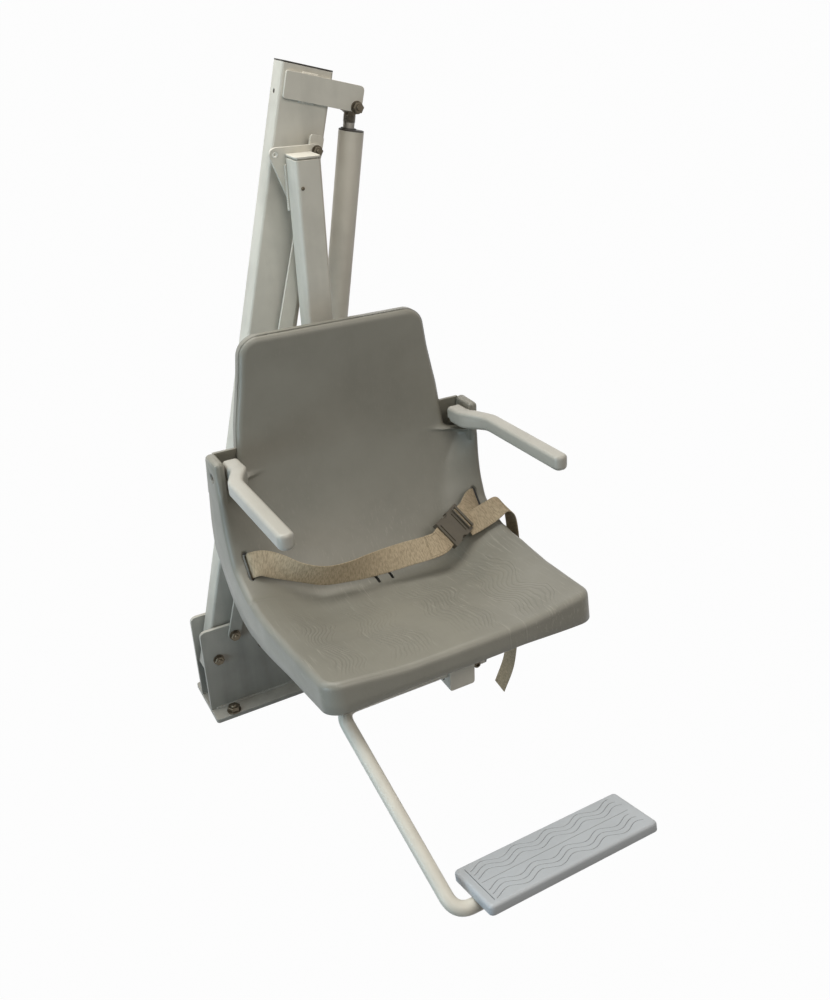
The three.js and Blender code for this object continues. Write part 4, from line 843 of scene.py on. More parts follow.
def seat_sheet():
    """The shell's closed skin: top, rounded rim, skirt, skirt's edge and underside"""
    profile = SeatProfile()
    ends = 1 - np.cos(np.linspace(0, math.pi / 2, 13))[:-1]
    near_back, near_front = (ends * corner / profile.length * 1.3 for corner in (BACK_CORNER, PAN_CORNER))
    rows = np.r_[near_back, np.linspace(0.06, 0.95, SEAT_ROWS), (1 - near_front)[::-1]]
    columns = np.sin((np.arange(SEAT_COLUMNS + 1) / SEAT_COLUMNS - 0.5) * math.pi)
    along, across = np.meshgrid(rows, columns, indexing="ij")
    quads, edge = grid_parts(along.shape)
    top = shell_points(profile, across, along, SEAT_ROUND, 0.0, 0.0).reshape(-1, 3)
    under = shell_points(profile, across, along, SEAT_ROUND, SEAT_WALL, 0.0).reshape(-1, 3)
    points, rings = [top, under], [edge]
    lip, round_in = SEAT_WALL / 4, SEAT_ROUND - SEAT_WALL
    turns = [(1 - math.sin(a), 1 - math.cos(a)) for a in np.linspace(0, math.pi / 2, SEAT_TURNS + 1)[1:]]
    places = [(SEAT_ROUND * side, SEAT_ROUND * down, 0.0) for side, down in turns]
    places += [(0.0, 0.0, 0.33), (0.0, 0.0, 0.66), (0.0, -lip, 1.0), (lip, 0.0, 1.0), (SEAT_WALL - lip, 0.0, 1.0),
               (SEAT_WALL, -lip, 1.0)]
    places += [(SEAT_WALL + round_in * side, SEAT_WALL + round_in * down, 0.0) for side, down in turns[::-1]]
    for inset, depth, at_skirt in places:
        rings.append(np.arange(len(edge)) + sum(len(p) for p in points))
        points.append(shell_points(profile, across.ravel()[edge], along.ravel()[edge], inset, depth, at_skirt))
    rings.append(edge + len(top))
    faces = quads.tolist() + (quads[:, [0, 3, 2, 1]] + len(top)).tolist() + band_faces(rings)
    return np.concatenate(points), faces


def prism_x(corners, ends):
    """A block along X between two ends, from (y, z) corners"""
    points = [(x, y, z) for x in sorted(ends) for y, z in corners]
    return points, ring_faces(2, len(corners))


class LIFT_OT_seat_shell(bpy.types.Operator):
    """Build the moulded seat shell with its arm ears, pockets, belt slots and drains"""

    bl_idname = "lift.seat_shell"
    bl_label = "Seat shell"

    def block(self, corners, side, ends, edge):
        """A block beside an arm's pivot"""
        corners = [(EAR_BACK + y, ARM_HEIGHT + z) for y, z in corners]
        return tool_object("block", *prism_x(corners, [SEAT_MIDDLE + side * end for end in ends]), edge=edge)

    def slot_ring(self, side, wide, long, depth):
        """Points round a belt slot, at a height over the seat's surface"""
        points = []
        for k in range(SLOT_SIDES):
            angle = 2 * math.pi * (k + 0.5) / SLOT_SIDES
            x = max(-1.0, min(1.0, math.cos(angle) * 1.35)) * wide
            y = math.copysign(min(abs(math.sin(angle)) ** 0.5, 1.0), math.sin(angle)) * long
            points.append(slot_middle(side) + Vector((x, 0, 0)) + SLOT_ALONG * y + SLOT_OUT * depth)
        return points

    def slot(self, name, side, rows, closed=False):
        points = [point for row in rows for point in self.slot_ring(side, *row)]
        return tool_object(name, points, ring_faces(len(rows), SLOT_SIDES, closed))

    def drain(self, side):
        points = []
        rows = ((0.395, 0.003), (DRAIN_TOP - 0.002, 0.003), (DRAIN_TOP + 0.002, 0.0048), (DRAIN_TOP + 0.012, 0.0048))
        for height, wide in rows:
            for k in range(DRAIN_SIDES):
                angle = math.pi * (k + 0.5) / (DRAIN_SIDES / 2)
                end = math.copysign(0.010, math.sin(angle))
                points.append(Vector((SEAT_MIDDLE + side * 0.0146 + wide * math.cos(angle),
                                      -0.3175 + end + wide * math.sin(angle), height)))
        return tool_object("drain", points, ring_faces(len(rows), DRAIN_SIDES))

    def pin_hole(self, side):
        profile = [(0.0, 0.0), (ARM_BORE, 0.0), (ARM_BORE, 0.0195), (0.0094, 0.0195), (0.0094, 0.0246),
                   (0.0112, 0.0264), (0.0112, 0.030), (0.0, 0.030)]
        place = (SEAT_MIDDLE + side * 0.2505, EAR_BACK, ARM_HEIGHT)
        return tool_object("pin hole", *lathe(profile, 32, place, (side, 0, 0)))

    def execute(self, context):
        shell = tool_object("seat_shell_moulding", *seat_sheet())
        for side in (-1, 1):
            combine(shell, self.block(EAR, side, (0.2555, SEAT_HALF), 0.009), "UNION")
            combine(shell, self.block(POCKET, side, (0.212, 0.2605), 0.0012), "UNION")
        bosses = [([(0.0, 0.4026), (0.012, 0.4026), (0.012, top), (0.0, top)], 24, (SEAT_MIDDLE + x, y, 0.0), (0, 0, 1))
                  for y, top in ((-0.300, 0.409), (-0.530, 0.436)) for x in (-0.08, 0.08)]
        combine(shell, tool_object("bosses", *lathes(bosses)), "UNION")
        for side in (-1, 1):
            for tool in (self.slot("slot", side, SLOT_ROWS), self.drain(side), self.pin_hole(side)):
                combine(shell, tool, "DIFFERENCE")
        facing_out(shell.data, merge=1e-6)
        if len(shell.data.polygons) < 20000:
            raise RuntimeError("the seat shell lost its skin while its holes were cut")
        shade_by_angle(shell, 38)
        dress(shell, "carriage", "seat_plastic", ["seat_shell"])
        # Dark liners in the belt slots: painted shade inside the slots
        for side, word in ((-1, "left"), (1, "right")):
            dress(self.slot(f"belt_slot_shade_liner_{word}", side, SLOT_SHADE_ROWS, True), "carriage", "black_plastic")
        # A dark pad on the cradle under the drains: painted shade seen through the drains
        corners = [(-0.340, 0.4022), (-0.295, 0.4022), (-0.295, 0.4034), (-0.340, 0.4034)]
        pad = prism_x(corners, (SEAT_MIDDLE - 0.030, SEAT_MIDDLE + 0.030))
        dress(tool_object("drain_shade_pad", *pad), "carriage", "rubber")
        return {"FINISHED"}


# ---------------------------------------------------------------- coated metal

COATED = {
    "base": ["base_plate", "side_plate_near", "side_plate_far", "base_web"],
    "mast": ["mast_tube", "rod_bracket_near", "rod_bracket_far"],
    "link": ["link_bar"],
    "carriage": ["coupler_plate", "seat_post", "seat_beam", "seat_cradle"],
}
CAP_RAISED = 0.0014


def taller_mast(point):
    """Raises the mast tube's open end to just under the thin lip of its cap"""
    return point + UP_MAST * CAP_RAISED if (point - PIVOT).dot(UP_MAST) > 1.2230 else point


def thinner_cap(point):
    """Thins the lip of the mast's cap from below"""
    return point + UP_MAST * CAP_RAISED if 1.2236 < (point - PIVOT).dot(UP_MAST) < 1.2250 else point


def seamed_cap(point):
    """Opens a seam under the lip of the post's cap"""
    return point + Vector((0, 0, 0.0022)) if abs(point.z - 1.1740) < 0.0006 else point


class LIFT_OT_coated_frame(bpy.types.Operator):
    """Round the edges of the coated plates and tubes"""

    bl_idname = "lift.coated_frame"
    bl_label = "Coated frame"

    def execute(self, context):
        for body, nodes in COATED.items():
            for node in nodes:
                is_tube = node in ("mast_tube", "seat_post", "seat_beam")
                rounded_copy(f"{node}_coated", node, body, "powder_coat",
                             sizes().tube_edge if is_tube else sizes().plate_edge, 35, 40,
                             taller_mast if node == "mast_tube" else None)
        return {"FINISHED"}


class LIFT_OT_weld_beads(bpy.types.Operator):
    """Lay weld beads where the plates and tubes meet"""

    bl_idname = "lift.weld_beads"
    bl_label = "Weld beads"

    def execute(self, context):
        side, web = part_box("side_plate_near"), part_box("base_web")
        deck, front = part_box("base_plate")[1].z + WELD_SINK, web[1].x + WELD_SINK
        inner, outer = abs(side[1].y), abs(side[0].y)
        lines = []
        for turn in (-1, 1):
            out, back = turn * (outer + WELD_SINK), turn * (inner - WELD_SINK)
            lines += [[(side[0].x + 0.012, out, deck), (side[1].x - 0.012, out, deck)],
                      [(front, back, deck + 0.006), (front, back, web[1].z - 0.008)]]
        lines.append([(front, 0.004 - inner, deck), (front, inner - 0.004, deck)])
        weld_beads("base_welds", lines, "base")
        face = 0.0225 + WELD_SINK
        weld_beads("mast_welds", [[on_mast(across, up, back) for across in (0.018, 0.0495)]
                                  for back in (-face, face) for up in (1.1648, 1.2132)], "mast")
        post, beam, cradle, coupler = (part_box(n) for n in ("seat_post", "seat_beam", "seat_cradle", "coupler_plate"))
        front, top, plate = post[0].y - WELD_SINK, beam[1].z + WELD_SINK, coupler[0].y - WELD_SINK
        sides, lines = (post[0].x - WELD_SINK, post[1].x + WELD_SINK), []
        for x in sides:
            lines += [[(x, front, beam[0].z + 0.008), (x, front, beam[1].z - 0.002)],
                      [(x, cradle[1].y - 0.002, top), (x, cradle[0].y + 0.006, top)]]
        lines.append([(post[0].x + 0.006, front, top), (post[1].x - 0.006, front, top)])
        lines += [[(x, plate, coupler[0].z + 0.02), (x, plate, coupler[1].z - 0.03)] for x in sides]
        weld_beads("carriage_welds", lines, "carriage")
        return {"FINISHED"}


class LIFT_OT_actuator(bpy.types.Operator):
    """Turn the actuator's barrel, gland ring and rod, and finish its eyes"""

    bl_idname = "lift.actuator"
    bl_label = "Actuator"

    def execute(self, context):
        start, top, radius, seam = 0.046, 0.9800, 0.0243, 0.0006
        place = FOOT_PIN + Vector((STROKE.z, 0, -STROKE.x)) * 0.006
        barrel = rounded_rod(radius, start, top - 0.0030, seam)
        foot_seam = [(radius, start + 0.040), (radius - seam, start + 0.0407), (radius - seam, start + 0.0418),
                     (radius, start + 0.0425)]
        turned_piece("actuator_barrel_skin", [(barrel[:6] + foot_seam + barrel[6:], 72, place, STROKE)], "barrel",
                     "powder_coat", ["actuator_barrel"])
        disc = [(0.0, top - 0.0029), (0.0240, top - 0.0029), (radius, top - 0.0024), (0.0238, top - 0.0004),
                (0.0, top)]
        boss = [(0.0113, top - 0.0020), (0.0158, top - 0.0020), (0.0146, top + 0.0022), (0.0122, top + 0.0022),
                (0.0113, top + 0.0012), (0.0113, top - 0.0020)]
        turned_piece("actuator_gland", [(disc, 72, place, STROKE), (boss, 72, FOOT_PIN, STROKE)], "barrel",
                     "black_plastic", ["actuator_collar"])
        reach = (ROD_PIN - FOOT_PIN).length
        rod = rounded_rod(0.01075, 0.500, reach - 0.0150, 0.0008)
        turned_piece("actuator_rod_steel", [(rod, 56, FOOT_PIN, STROKE)], "rod", "rod_steel", ["actuator_rod"])
        low, pitch = reach - 0.0300, 0.0018
        thread = [(0.0104, low)]
        for k in range(7):
            thread += [(0.0109, low + 0.0006 + pitch * k), (0.0118, low + 0.0015 + pitch * k)]
        thread += [(0.0109, low + 0.0135), (0.0104, low + 0.0138), (0.0104, low)]
        turned_piece("rod_thread", [(thread, 48, FOOT_PIN, STROKE)], "rod", "rod_steel")
        rounded_copy("rod_eye_forged", "rod_eye", "rod", "dark_steel", 0.0010, 40, 50)
        rounded_copy("actuator_foot_forged", "actuator_foot", "barrel", "powder_coat", 0.0014, 40, 50)
        return {"FINISHED"}


# ---------------------------------------------------------------- fasteners and small parts

# Width across flats and shank radius of the small, pivot and anchor bolts
SMALL, PIVOT_BOLT, ANCHOR = (0.013, 0.004), (0.019, 0.006), (0.024, 0.008)
HEAD_DEEP = 0.013
BOARD_TILT = math.radians(15)
TUBE_RADIUS, TUBE_OUT, TUBE_LOW = 0.012, -0.925, 0.2027


class LIFT_OT_fasteners(bpy.types.Operator):
    """Set every bolt, nut and washer of the lift"""

    bl_idname = "lift.fasteners"
    bl_label = "Bolts and nuts"

    def execute(self, context):
        near, far, up, under = (0, -1, 0), (0, 1, 0), (0, 0, 1), (0, 0, -1)
        anchors, seat_bolts = ([f"{kind}_bolt_{k}" for k in (1, 2, 3, 4)] for kind in ("anchor", "seat"))
        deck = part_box("base_plate")[1].z + GAP
        rows = [((*middle(n).xy, deck), up, *ANCHOR, 0.0095, 1.0) for n in anchors]
        fasteners("anchor_hardware", rows, "base", "dark_steel", anchors)
        face = -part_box("side_plate_near")[0].y + GAP
        through, rows = ["mast_pivot_bolt", "stop_bolt", "foot_pivot_bolt"], []
        for x, _, z in map(middle, through):
            rows.append(((x, -face, z), near, *PIVOT_BOLT, 2 * face, 1.0))
            rows.append(((x, face, z), far, *PIVOT_BOLT, 0.002, 1.0))
        x, _, z = middle("link_pivot_bolt")
        rows.append(((x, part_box("link_pivot_bolt")[0].y + HEAD_DEEP, z), near, *PIVOT_BOLT, 0.0158, 1.0))
        fasteners("base_hardware", rows, "base", "dark_steel", through + ["link_pivot_bolt"])
        x, _, z = middle("rod_bolt")
        for name, y, way, node in (("head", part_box("rod_bracket_near")[0].y - GAP, near, "rod_bolt"),
                                   ("nut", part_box("rod_bracket_far")[1].y + GAP, far, "rod_bolt_nut")):
            rows = [((x, y, z), way, *PIVOT_BOLT, 0.006, 1.0)]
            fasteners(f"rod_pin_{name}", rows, "mast", "dark_steel", [node])
        low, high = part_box("link_top_bolt")
        x, _, z = middle("link_top_bolt")
        shank = high.y - low.y - 2 * HEAD_DEEP
        rows = [((x, low.y + HEAD_DEEP, z), near, 0.0165, PIVOT_BOLT[1], shank, 1.0),
                ((x, high.y - HEAD_DEEP, z), far, *PIVOT_BOLT, 0.001, 1.0)]
        fasteners("link_top_hardware", rows, "carriage", "dark_steel", ["link_top_bolt"])
        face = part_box("seat_cradle")[0].z - GAP
        rows = [((*middle(n).xy, face), under, *SMALL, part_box(n)[1].z - face - 0.0005, 0.0) for n in seat_bolts]
        fasteners("seat_hardware", rows, "carriage", "stainless", seat_bolts)
        down = Vector((0.0, -math.sin(BOARD_TILT), -math.cos(BOARD_TILT)))
        screws = ["footrest_screw_left", "footrest_screw_right"]
        rows = [(Vector((middle(n).x, TUBE_OUT, TUBE_LOW)) + down * (TUBE_RADIUS + GAP), down, *SMALL, 0.033, 0.0)
                for n in screws]
        fasteners("footrest_hardware", rows, "footrest", "stainless", screws)
        return {"FINISHED"}


SMALL_COPIES = (
    ("beam_cap", "carriage", "powder_coat", 0.0008), ("mast_pivot_bush", "mast", "nylon", 0.0005),
    ("carriage_bush", "mast", "nylon", 0.0006), ("link_bush_lower", "link", "nylon", 0.0003),
    ("link_bush_upper", "link", "nylon", 0.0003), ("carriage_pin", "carriage", "stainless", 0.0006),
    ("footrest_plug_upper", "footrest", "black_plastic", 0.0006),
    ("footrest_plug_lower", "footrest", "black_plastic", 0.0006),
)
# Profiles of (radius, height) from the piece's back, for its length and its outer radius
TURNED = (
    ("spare_bush_turned", "spare_bush", "carriage", "nylon", 32, lambda long, outer: [
        (0.0030, 0.0), (0.0050, 0.0), (0.0055, 0.0005), (0.0055, long - 0.0005), (0.0050, long), (0.0036, long),
        (0.0030, long - 0.0006), (0.0030, 0.0)]),
    ("stop_sleeve_rubber", "stop_sleeve", "base", "rubber", 48, lambda long, outer: [
        (0.0064, 0.0), (outer - 0.002, 0.0), (outer, 0.002), (outer, long - 0.002), (outer - 0.002, long),
        (0.0064, long), (0.0064, 0.0)]),
    ("post_screw_turned", "post_screw", "carriage", "dark_steel", 28, lambda long, outer: [
        (0.0, 0.0), (0.0020, 0.0), (0.0020, long - 0.0040), (0.0035, long - 0.0038), (0.0035, long - 0.0016),
        (0.0028, long - 0.0004), (0.0017, long), (0.0015, long - 0.0014), (0.0, long - 0.0016)]),
    ("footrest_stop_turned", "footrest_stop_bolt", "footrest", "dark_steel", 36, lambda long, outer: [
        (0.0, 0.0), (0.0040, 0.0), (0.0040, long - 0.0049), (0.0060, long - 0.0049), (0.0065, long - 0.0044),
        (0.0065, long - 0.0008), (0.0058, long), (0.0034, long), (0.0031, long - 0.0030), (0.0, long - 0.0034)]),
)
ARM_PIN = ((0.0, 0.0), (0.0049, 0.0), (0.0049, 0.0492), (0.0079, 0.0492), (0.0079, 0.0504), (0.0056, 0.0504),
           (0.0056, 0.0528), (0.0050, 0.0534), (0.0030, 0.0534), (0.0030, 0.0516), (0.0, 0.0514))
# Profile of the black disc that paints the shade in the mast's vent hole
VENT_SHADE_DISC = ((0.0, 0.0), (0.0042, 0.0), (0.0042, 0.0022), (0.0, 0.0022))


class LIFT_OT_small_parts(bpy.types.Operator):
    """Finish the caps, bushes, plugs, pins and the rubber stop"""

    bl_idname = "lift.small_parts"
    bl_label = "Caps, bushes and plugs"

    def execute(self, context):
        for node, body, finish, width in SMALL_COPIES:
            rounded_copy(f"{node}_finished", node, body, finish, width)
        for side, word in ((-1, "left"), (1, "right")):
            turned_piece(f"arm_pin_{word}_turned", [(ARM_PIN, 32, arm_pivot(side, 0.2213), (side, 0, 0))],
                         "carriage", "dark_steel", [f"arm_pin_{word}"])
        rounded_copy("mast_cap_lip", "mast_cap", "mast", "black_plastic", 0.0006, change=thinner_cap)
        rounded_copy("post_cap_coated", "post_cap", "carriage", "powder_coat", 0.0010, change=seamed_cap)
        # A black disc in the mast's vent hole: painted shade inside the hole
        left = min((v.co - PIVOT).dot(ACROSS_MAST) for v in frame["nodes"]["mast_tube"].data.vertices)
        turned_piece("mast_vent_shade_disc", [(VENT_SHADE_DISC, 32, on_mast(left + 0.0030, 1.173), -ACROSS_MAST)], "mast",
                     "black_plastic")
        for name, node, body, finish, sides, profile in TURNED:
            low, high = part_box(node)
            place = ((low.x + high.x) / 2, high.y, (low.z + high.z) / 2)
            rows = profile(high.y - low.y, (high.x - low.x) / 2)
            turned_piece(name, [(rows, sides, place, (0, -1, 0))], body, finish, [node])
        return {"FINISHED"}


# ---------------------------------------------------------------- arms and footrest

class LIFT_OT_arms(bpy.types.Operator):
    """Mould the fold-up arms"""

    bl_idname = "lift.arms"
    bl_label = "Arms"

    root_x, tip_x, root_half, tip_half = 0.237, 0.2615, 0.0158, 0.0143
    heel, reach, tilt, corner = 0.0088, 0.3478, math.radians(3), 0.0072
    heel_round, tip_round, tip_round_high = 0.006, 0.013, 0.0065

    def row(self, side, ahead):
        """Points round the arm at a distance ahead of its pivot"""
        bend = float(smoothstep(ahead, 0.034, 0.108))
        middle_x = self.root_x + (self.tip_x - self.root_x) * bend
        half = self.root_half + (self.tip_half - self.root_half) * bend
        floor = -0.0048 + 0.0070 * float(smoothstep(ahead, 0.040, 0.118))
        top = 0.0268 + 0.0040 * float(smoothstep(ahead, 0.022, 0.060))
        at_heel = corner_draw(ahead + self.heel, self.heel_round)
        half -= corner_draw(self.reach - ahead, self.tip_round) + at_heel
        rise = (top - floor) / 2 - (corner_draw(self.reach - ahead, self.tip_round_high) + at_heel)
        radius = min(self.corner, half * 0.98, rise * 0.98)
        points = []
        for sx, sz, start in ((1, 1, 0), (-1, 1, 1), (-1, -1, 2), (1, -1, 3)):
            for angle in np.linspace(0, math.pi / 2, 8) + start * math.pi / 2:
                x = sx * (half - radius) + radius * math.cos(angle)
                z = sz * (rise - radius) + radius * math.sin(angle)
                points.append((side * (middle_x + x), -ahead, (top + floor) / 2 + z))
        return points

    def loft(self, side):
        ends = 1 - np.cos(np.linspace(0, math.pi / 2, 9))
        run = np.r_[-self.heel + ends * 0.008, np.linspace(0.002, self.reach - 0.016, 110),
                    (self.reach - ends * 0.013)[::-1]]
        rows = [self.row(side, ahead) for ahead in run]
        lean = Matrix.Rotation(-self.tilt, 3, "X")
        points = [lean @ Vector(point) + arm_pivot(0, 0) for row in rows for point in row]
        return points, ring_faces(len(rows), len(rows[0]))

    def execute(self, context):
        for word, side in (("left", -1), ("right", 1)):
            arm = tool_object(f"arm_{word}_moulded", *self.loft(side))
            bore = lathe([(0.0, 0.0), (ARM_BORE, 0.0), (ARM_BORE, 0.080), (0.0, 0.080)], 32,
                         arm_pivot(side, 0.205), (side, 0, 0))
            combine(arm, tool_object("bore", *bore), "DIFFERENCE")
            shade_by_angle(arm, 50)
            dress(arm, f"arm_{word}", "arm_plastic", [f"arm_{word}"])
        return {"FINISHED"}


BOARD_HALF_X, BOARD_HALF_Y, BOARD_THICK, BOARD_CORNER, BOARD_LOW_EDGE = 0.160, 0.0585, 0.018, 0.0085, 0.0028
BOARD_COLUMNS, BOARD_ROWS = 340, 150


class LIFT_OT_footrest(bpy.types.Operator):
    """Bend the footrest's tube and mould its grooved board"""

    bl_idname = "lift.footrest"
    bl_label = "Footrest"

    line_places = (-0.0405, -0.0285, -0.0165, 0.0165, 0.0285, 0.0405)
    left, right, wave_height, wave_length, wave_start = -0.141, 0.146, 0.0062, 0.062, 0.6
    tube_corners = ((0.052, -0.603, 0.380), (-0.225, -0.603, 0.380), (-0.191, TUBE_OUT, TUBE_LOW),
                    (0.120, TUBE_OUT, TUBE_LOW))
    tube_sides, bend_start, bend_steps = 40, 0.030, 12

    def groove(self, x, y):
        """How deep the grooves are at points of the board's top, as a share"""
        half, turn = sizes().groove_width / 2, 2 * math.pi / self.wave_length
        swing = self.wave_height * np.sin(turn * x + self.wave_start)
        slope = np.sqrt(1 + (self.wave_height * turn * np.cos(turn * x + self.wave_start)) ** 2)
        depth = np.zeros_like(x)
        lines = [(np.abs(y - line - swing) / slope, self.right - 0.004 * (k % 3))
                 for k, line in enumerate(self.line_places)] + [(np.abs(y), self.right - 0.002)]
        for away, end in lines:
            inside = smoothstep(x, self.left, self.left + 0.001) * smoothstep(-x, -end, -end + 0.001)
            depth = np.maximum(depth, smoothstep(-away, -half, -half * 0.2) * inside)
        reach = smoothstep(-np.abs(y), -0.0475, -0.0465)
        cross = smoothstep(-np.abs(x - self.left + 0.004), -half * 1.2, -half * 0.3) * reach
        return np.maximum(depth, cross)

    def rounded_grid(self, edge):
        """Points of the board's flat top, drawn in at its corners"""
        core = np.array((BOARD_HALF_X, BOARD_HALF_Y)) - BOARD_CORNER
        spans = [np.linspace(-1, 1, n + 1) for n in (BOARD_COLUMNS, BOARD_ROWS)]
        flat = np.stack(np.meshgrid(*spans, indexing="ij"), -1) * (core + BOARD_CORNER - edge)
        pull = np.maximum(np.abs(flat) - core, 0)
        reach = np.maximum(np.hypot(pull[..., 0], pull[..., 1]), 1e-9)
        limit = np.where((pull > 0).all(-1), np.maximum(pull.max(-1), 1e-9) / reach, 1.0)
        return np.sign(flat) * (np.minimum(np.abs(flat), core) + pull * limit[..., None]), core

    def board(self):
        edge, low_edge = sizes().board_edge, BOARD_LOW_EDGE
        flat, core = self.rounded_grid(edge)
        depths = self.groove(flat[..., 0], flat[..., 1])
        quads, rim = grid_parts(depths.shape)
        top = np.c_[flat.reshape(-1, 2), -sizes().groove_depth * depths.ravel()]
        line = top[rim, :2]
        away = line - np.clip(line, -core, core)
        away /= np.maximum(np.linalg.norm(away, axis=1), 1e-9)[:, None]
        points, rings = [top], [rim]
        steps = [(edge * math.sin(t), -edge + edge * math.cos(t)) for t in np.linspace(0, math.pi / 2, 6)[1:]]
        steps += [(edge, -BOARD_THICK + low_edge)]
        steps += [(edge - low_edge + low_edge * math.cos(t), -BOARD_THICK + low_edge - low_edge * math.sin(t))
                  for t in np.linspace(0, math.pi / 2, 4)[1:]]
        for spread, height in steps:
            rings.append(np.arange(len(rim)) + sum(len(p) for p in points))
            points.append(np.c_[line + away * spread, np.full(len(rim), height)])
        faces = quads.tolist() + band_faces(rings) + [rings[-1].tolist()[::-1]]
        rise = BOARD_THICK + GAP + TUBE_RADIUS
        turn = Matrix.Rotation(-BOARD_TILT, 3, "X")
        shift = Vector((SEAT_MIDDLE, TUBE_OUT, TUBE_LOW)) + turn @ Vector((0, 0, rise))
        board = tool_object("footrest_board_moulded", [turn @ Vector(p) + shift for p in np.concatenate(points)], faces)
        # The groove shares are kept on the board for the painted shade in its grooves
        shares = np.zeros(len(board.data.vertices))
        shares[:depths.size] = depths.ravel()
        board.data.attributes.new("groove", "FLOAT", "POINT").data.foreach_set("value", shares)
        return board

    def tube_path(self):
        corners = [Vector((SEAT_MIDDLE, 0, 0)) + Vector(p) for p in self.tube_corners]
        path = [corners[0]]
        for before, corner, after in zip(corners, corners[1:], corners[2:]):
            start, end = (corner + (other - corner).normalized() * self.bend_start for other in (before, after))
            for t in (k / self.bend_steps for k in range(self.bend_steps + 1)):
                path.append((1 - t) ** 2 * start + 2 * t * (1 - t) * corner + t * t * end)
        return path + [corners[-1]]

    def tube(self):
        path, points, across = self.tube_path(), [], Vector((0, 0, 1))
        for k, place in enumerate(path):
            ahead = (path[min(k + 1, len(path) - 1)] - path[max(k - 1, 0)]).normalized()
            across = (across - ahead * across.dot(ahead)).normalized()
            for angle in (2 * math.pi * j / self.tube_sides for j in range(self.tube_sides)):
                points.append(place + (across * math.cos(angle) + ahead.cross(across) * math.sin(angle)) * TUBE_RADIUS)
        return tool_object("footrest_tube_bent", points, ring_faces(len(path), self.tube_sides))

    def execute(self, context):
        board, tube = self.board(), self.tube()
        shade_by_angle(board, 40)
        dress(board, "footrest", "pad_plastic", ["footrest_board"])
        shade_by_angle(tube, 50)
        dress(tube, "footrest", "clean_coat", ["footrest_tube"])
        return {"FINISHED"}


# ---------------------------------------------------------------- lap belt and buckle

BUCKLE_MIDDLE = seat_place(0.558, 0.3175, 0.1333)
BUCKLE_TURN, BUCKLE_RISE, BUCKLE_LEAN = math.radians(29), math.radians(9), 47.5
BUCKLE_LENGTH, BUCKLE_WIDTH, BUCKLE_DEPTH, BUCKLE_WALL = 0.052, 0.062, 0.014, 0.0025
TONGUE_START, TONGUE_FRAME, TONGUE_BAR, TONGUE_TRAVEL = BUCKLE_LENGTH / 2 + GAP, 0.024, 0.006, 0.013
OVER_BAR = BUCKLE_DEPTH / 2 - BUCKLE_WALL + 0.0018
BUCKLE_BARS = ((0.0015, 0.0050, 0.0030), (0.0100, 0.0160, 0.0036))
# Rows of shares across, out and up the seat, and the strap's lean in degrees
LEFT_RUN = ((-0.82, 0.225, 0.178, 40), (-0.73, 0.2505, 0.1605, 20), (-0.6, 0.293, 0.13, -10),
            (-0.4493, 0.3258, 0.1042, -12), (-0.2754, 0.3371, 0.0958, -6), (-0.087, 0.3433, 0.0979, 16),
            (0.1159, 0.3536, 0.1062, 36))
TAIL_RUN = ((0.70, 0.3020, 0.1180, 47), (0.78, 0.3050, 0.1310, 46), (0.9058, 0.3010, 0.1500, 52),
            (1.0072, 0.2960, 0.1660, 72), (1.0688, 0.2960, 0.1321, 86), (1.0942, 0.3072, 0.0479, 90),
            (1.0978, 0.3196, -0.1208, 90), (1.0906, 0.3237, -0.3292, 90))
TAIL_END = ((1.0761, 0.3278, -0.5167, 3), (1.0435, 0.3299, -0.6625, 6), (0.9600, 0.3299, -0.7830, 8))


def leaning(degrees):
    angle = math.radians(degrees)
    return Vector((0.0, math.sin(angle), math.cos(angle)))


def twisted(degrees):
    angle = math.radians(degrees)
    return Vector((math.sin(angle), math.cos(angle), 0.0))


def in_buckle(x, y, z):
    """A point of the buckle's own frame: along it, across it and out of its face"""
    along = Vector((math.cos(BUCKLE_TURN), math.sin(BUCKLE_TURN), math.tan(BUCKLE_RISE))).normalized()
    across = leaning(BUCKLE_LEAN)
    across = (across - along * across.dot(along)).normalized()
    return BUCKLE_MIDDLE + along * x + across * y + along.cross(across) * z


def at_buckle(x, z=0.0):
    return in_buckle(x, 0, z), leaning(BUCKLE_LEAN)


def through_slot(side):
    """Three stations that lead a strap from over the seat down through a belt slot"""
    hug = 0.0032
    return [(slot_middle(side, shift) + SLOT_OUT * above, SLOT_ALONG)
            for above, shift in ((0.009, hug + 0.0018), (0.0, hug), (-0.014, hug))]


def on_seat(rows, width=leaning):
    return [(seat_place(*row[:3]), width(row[3])) for row in rows]


def smooth_line(stations, steps=24):
    """A smooth line through stations of place and width direction, as evenly spaced samples"""
    places, widths = zip(*stations)
    out = []
    for k in range(len(places) - 1):
        p1, p2 = places[k], places[k + 1]
        p0 = places[k - 1] if k else p1 * 2 - p2
        p3 = places[k + 2] if k + 2 < len(places) else p2 * 2 - p1
        w0, w1, w2, w3 = (widths[min(max(k + n, 0), len(widths) - 1)] for n in (-1, 0, 1, 2))
        t0, t1, t2 = (max((b - a).length, 1e-9) ** 0.5 for a, b in ((p0, p1), (p1, p2), (p2, p3)))
        slope1 = ((p1 - p0) / t0 - (p2 - p0) / (t0 + t1) + (p2 - p1) / t1) * t1
        slope2 = ((p2 - p1) / t1 - (p3 - p1) / (t1 + t2) + (p3 - p2) / t2) * t1
        for t in (j / steps for j in range(steps + (k == len(places) - 2))):
            out.append((cubic(t, p1, p2, slope1, slope2), cubic(t, w1, w2, (w2 - w0) / 2, (w3 - w1) / 2)))
    return out


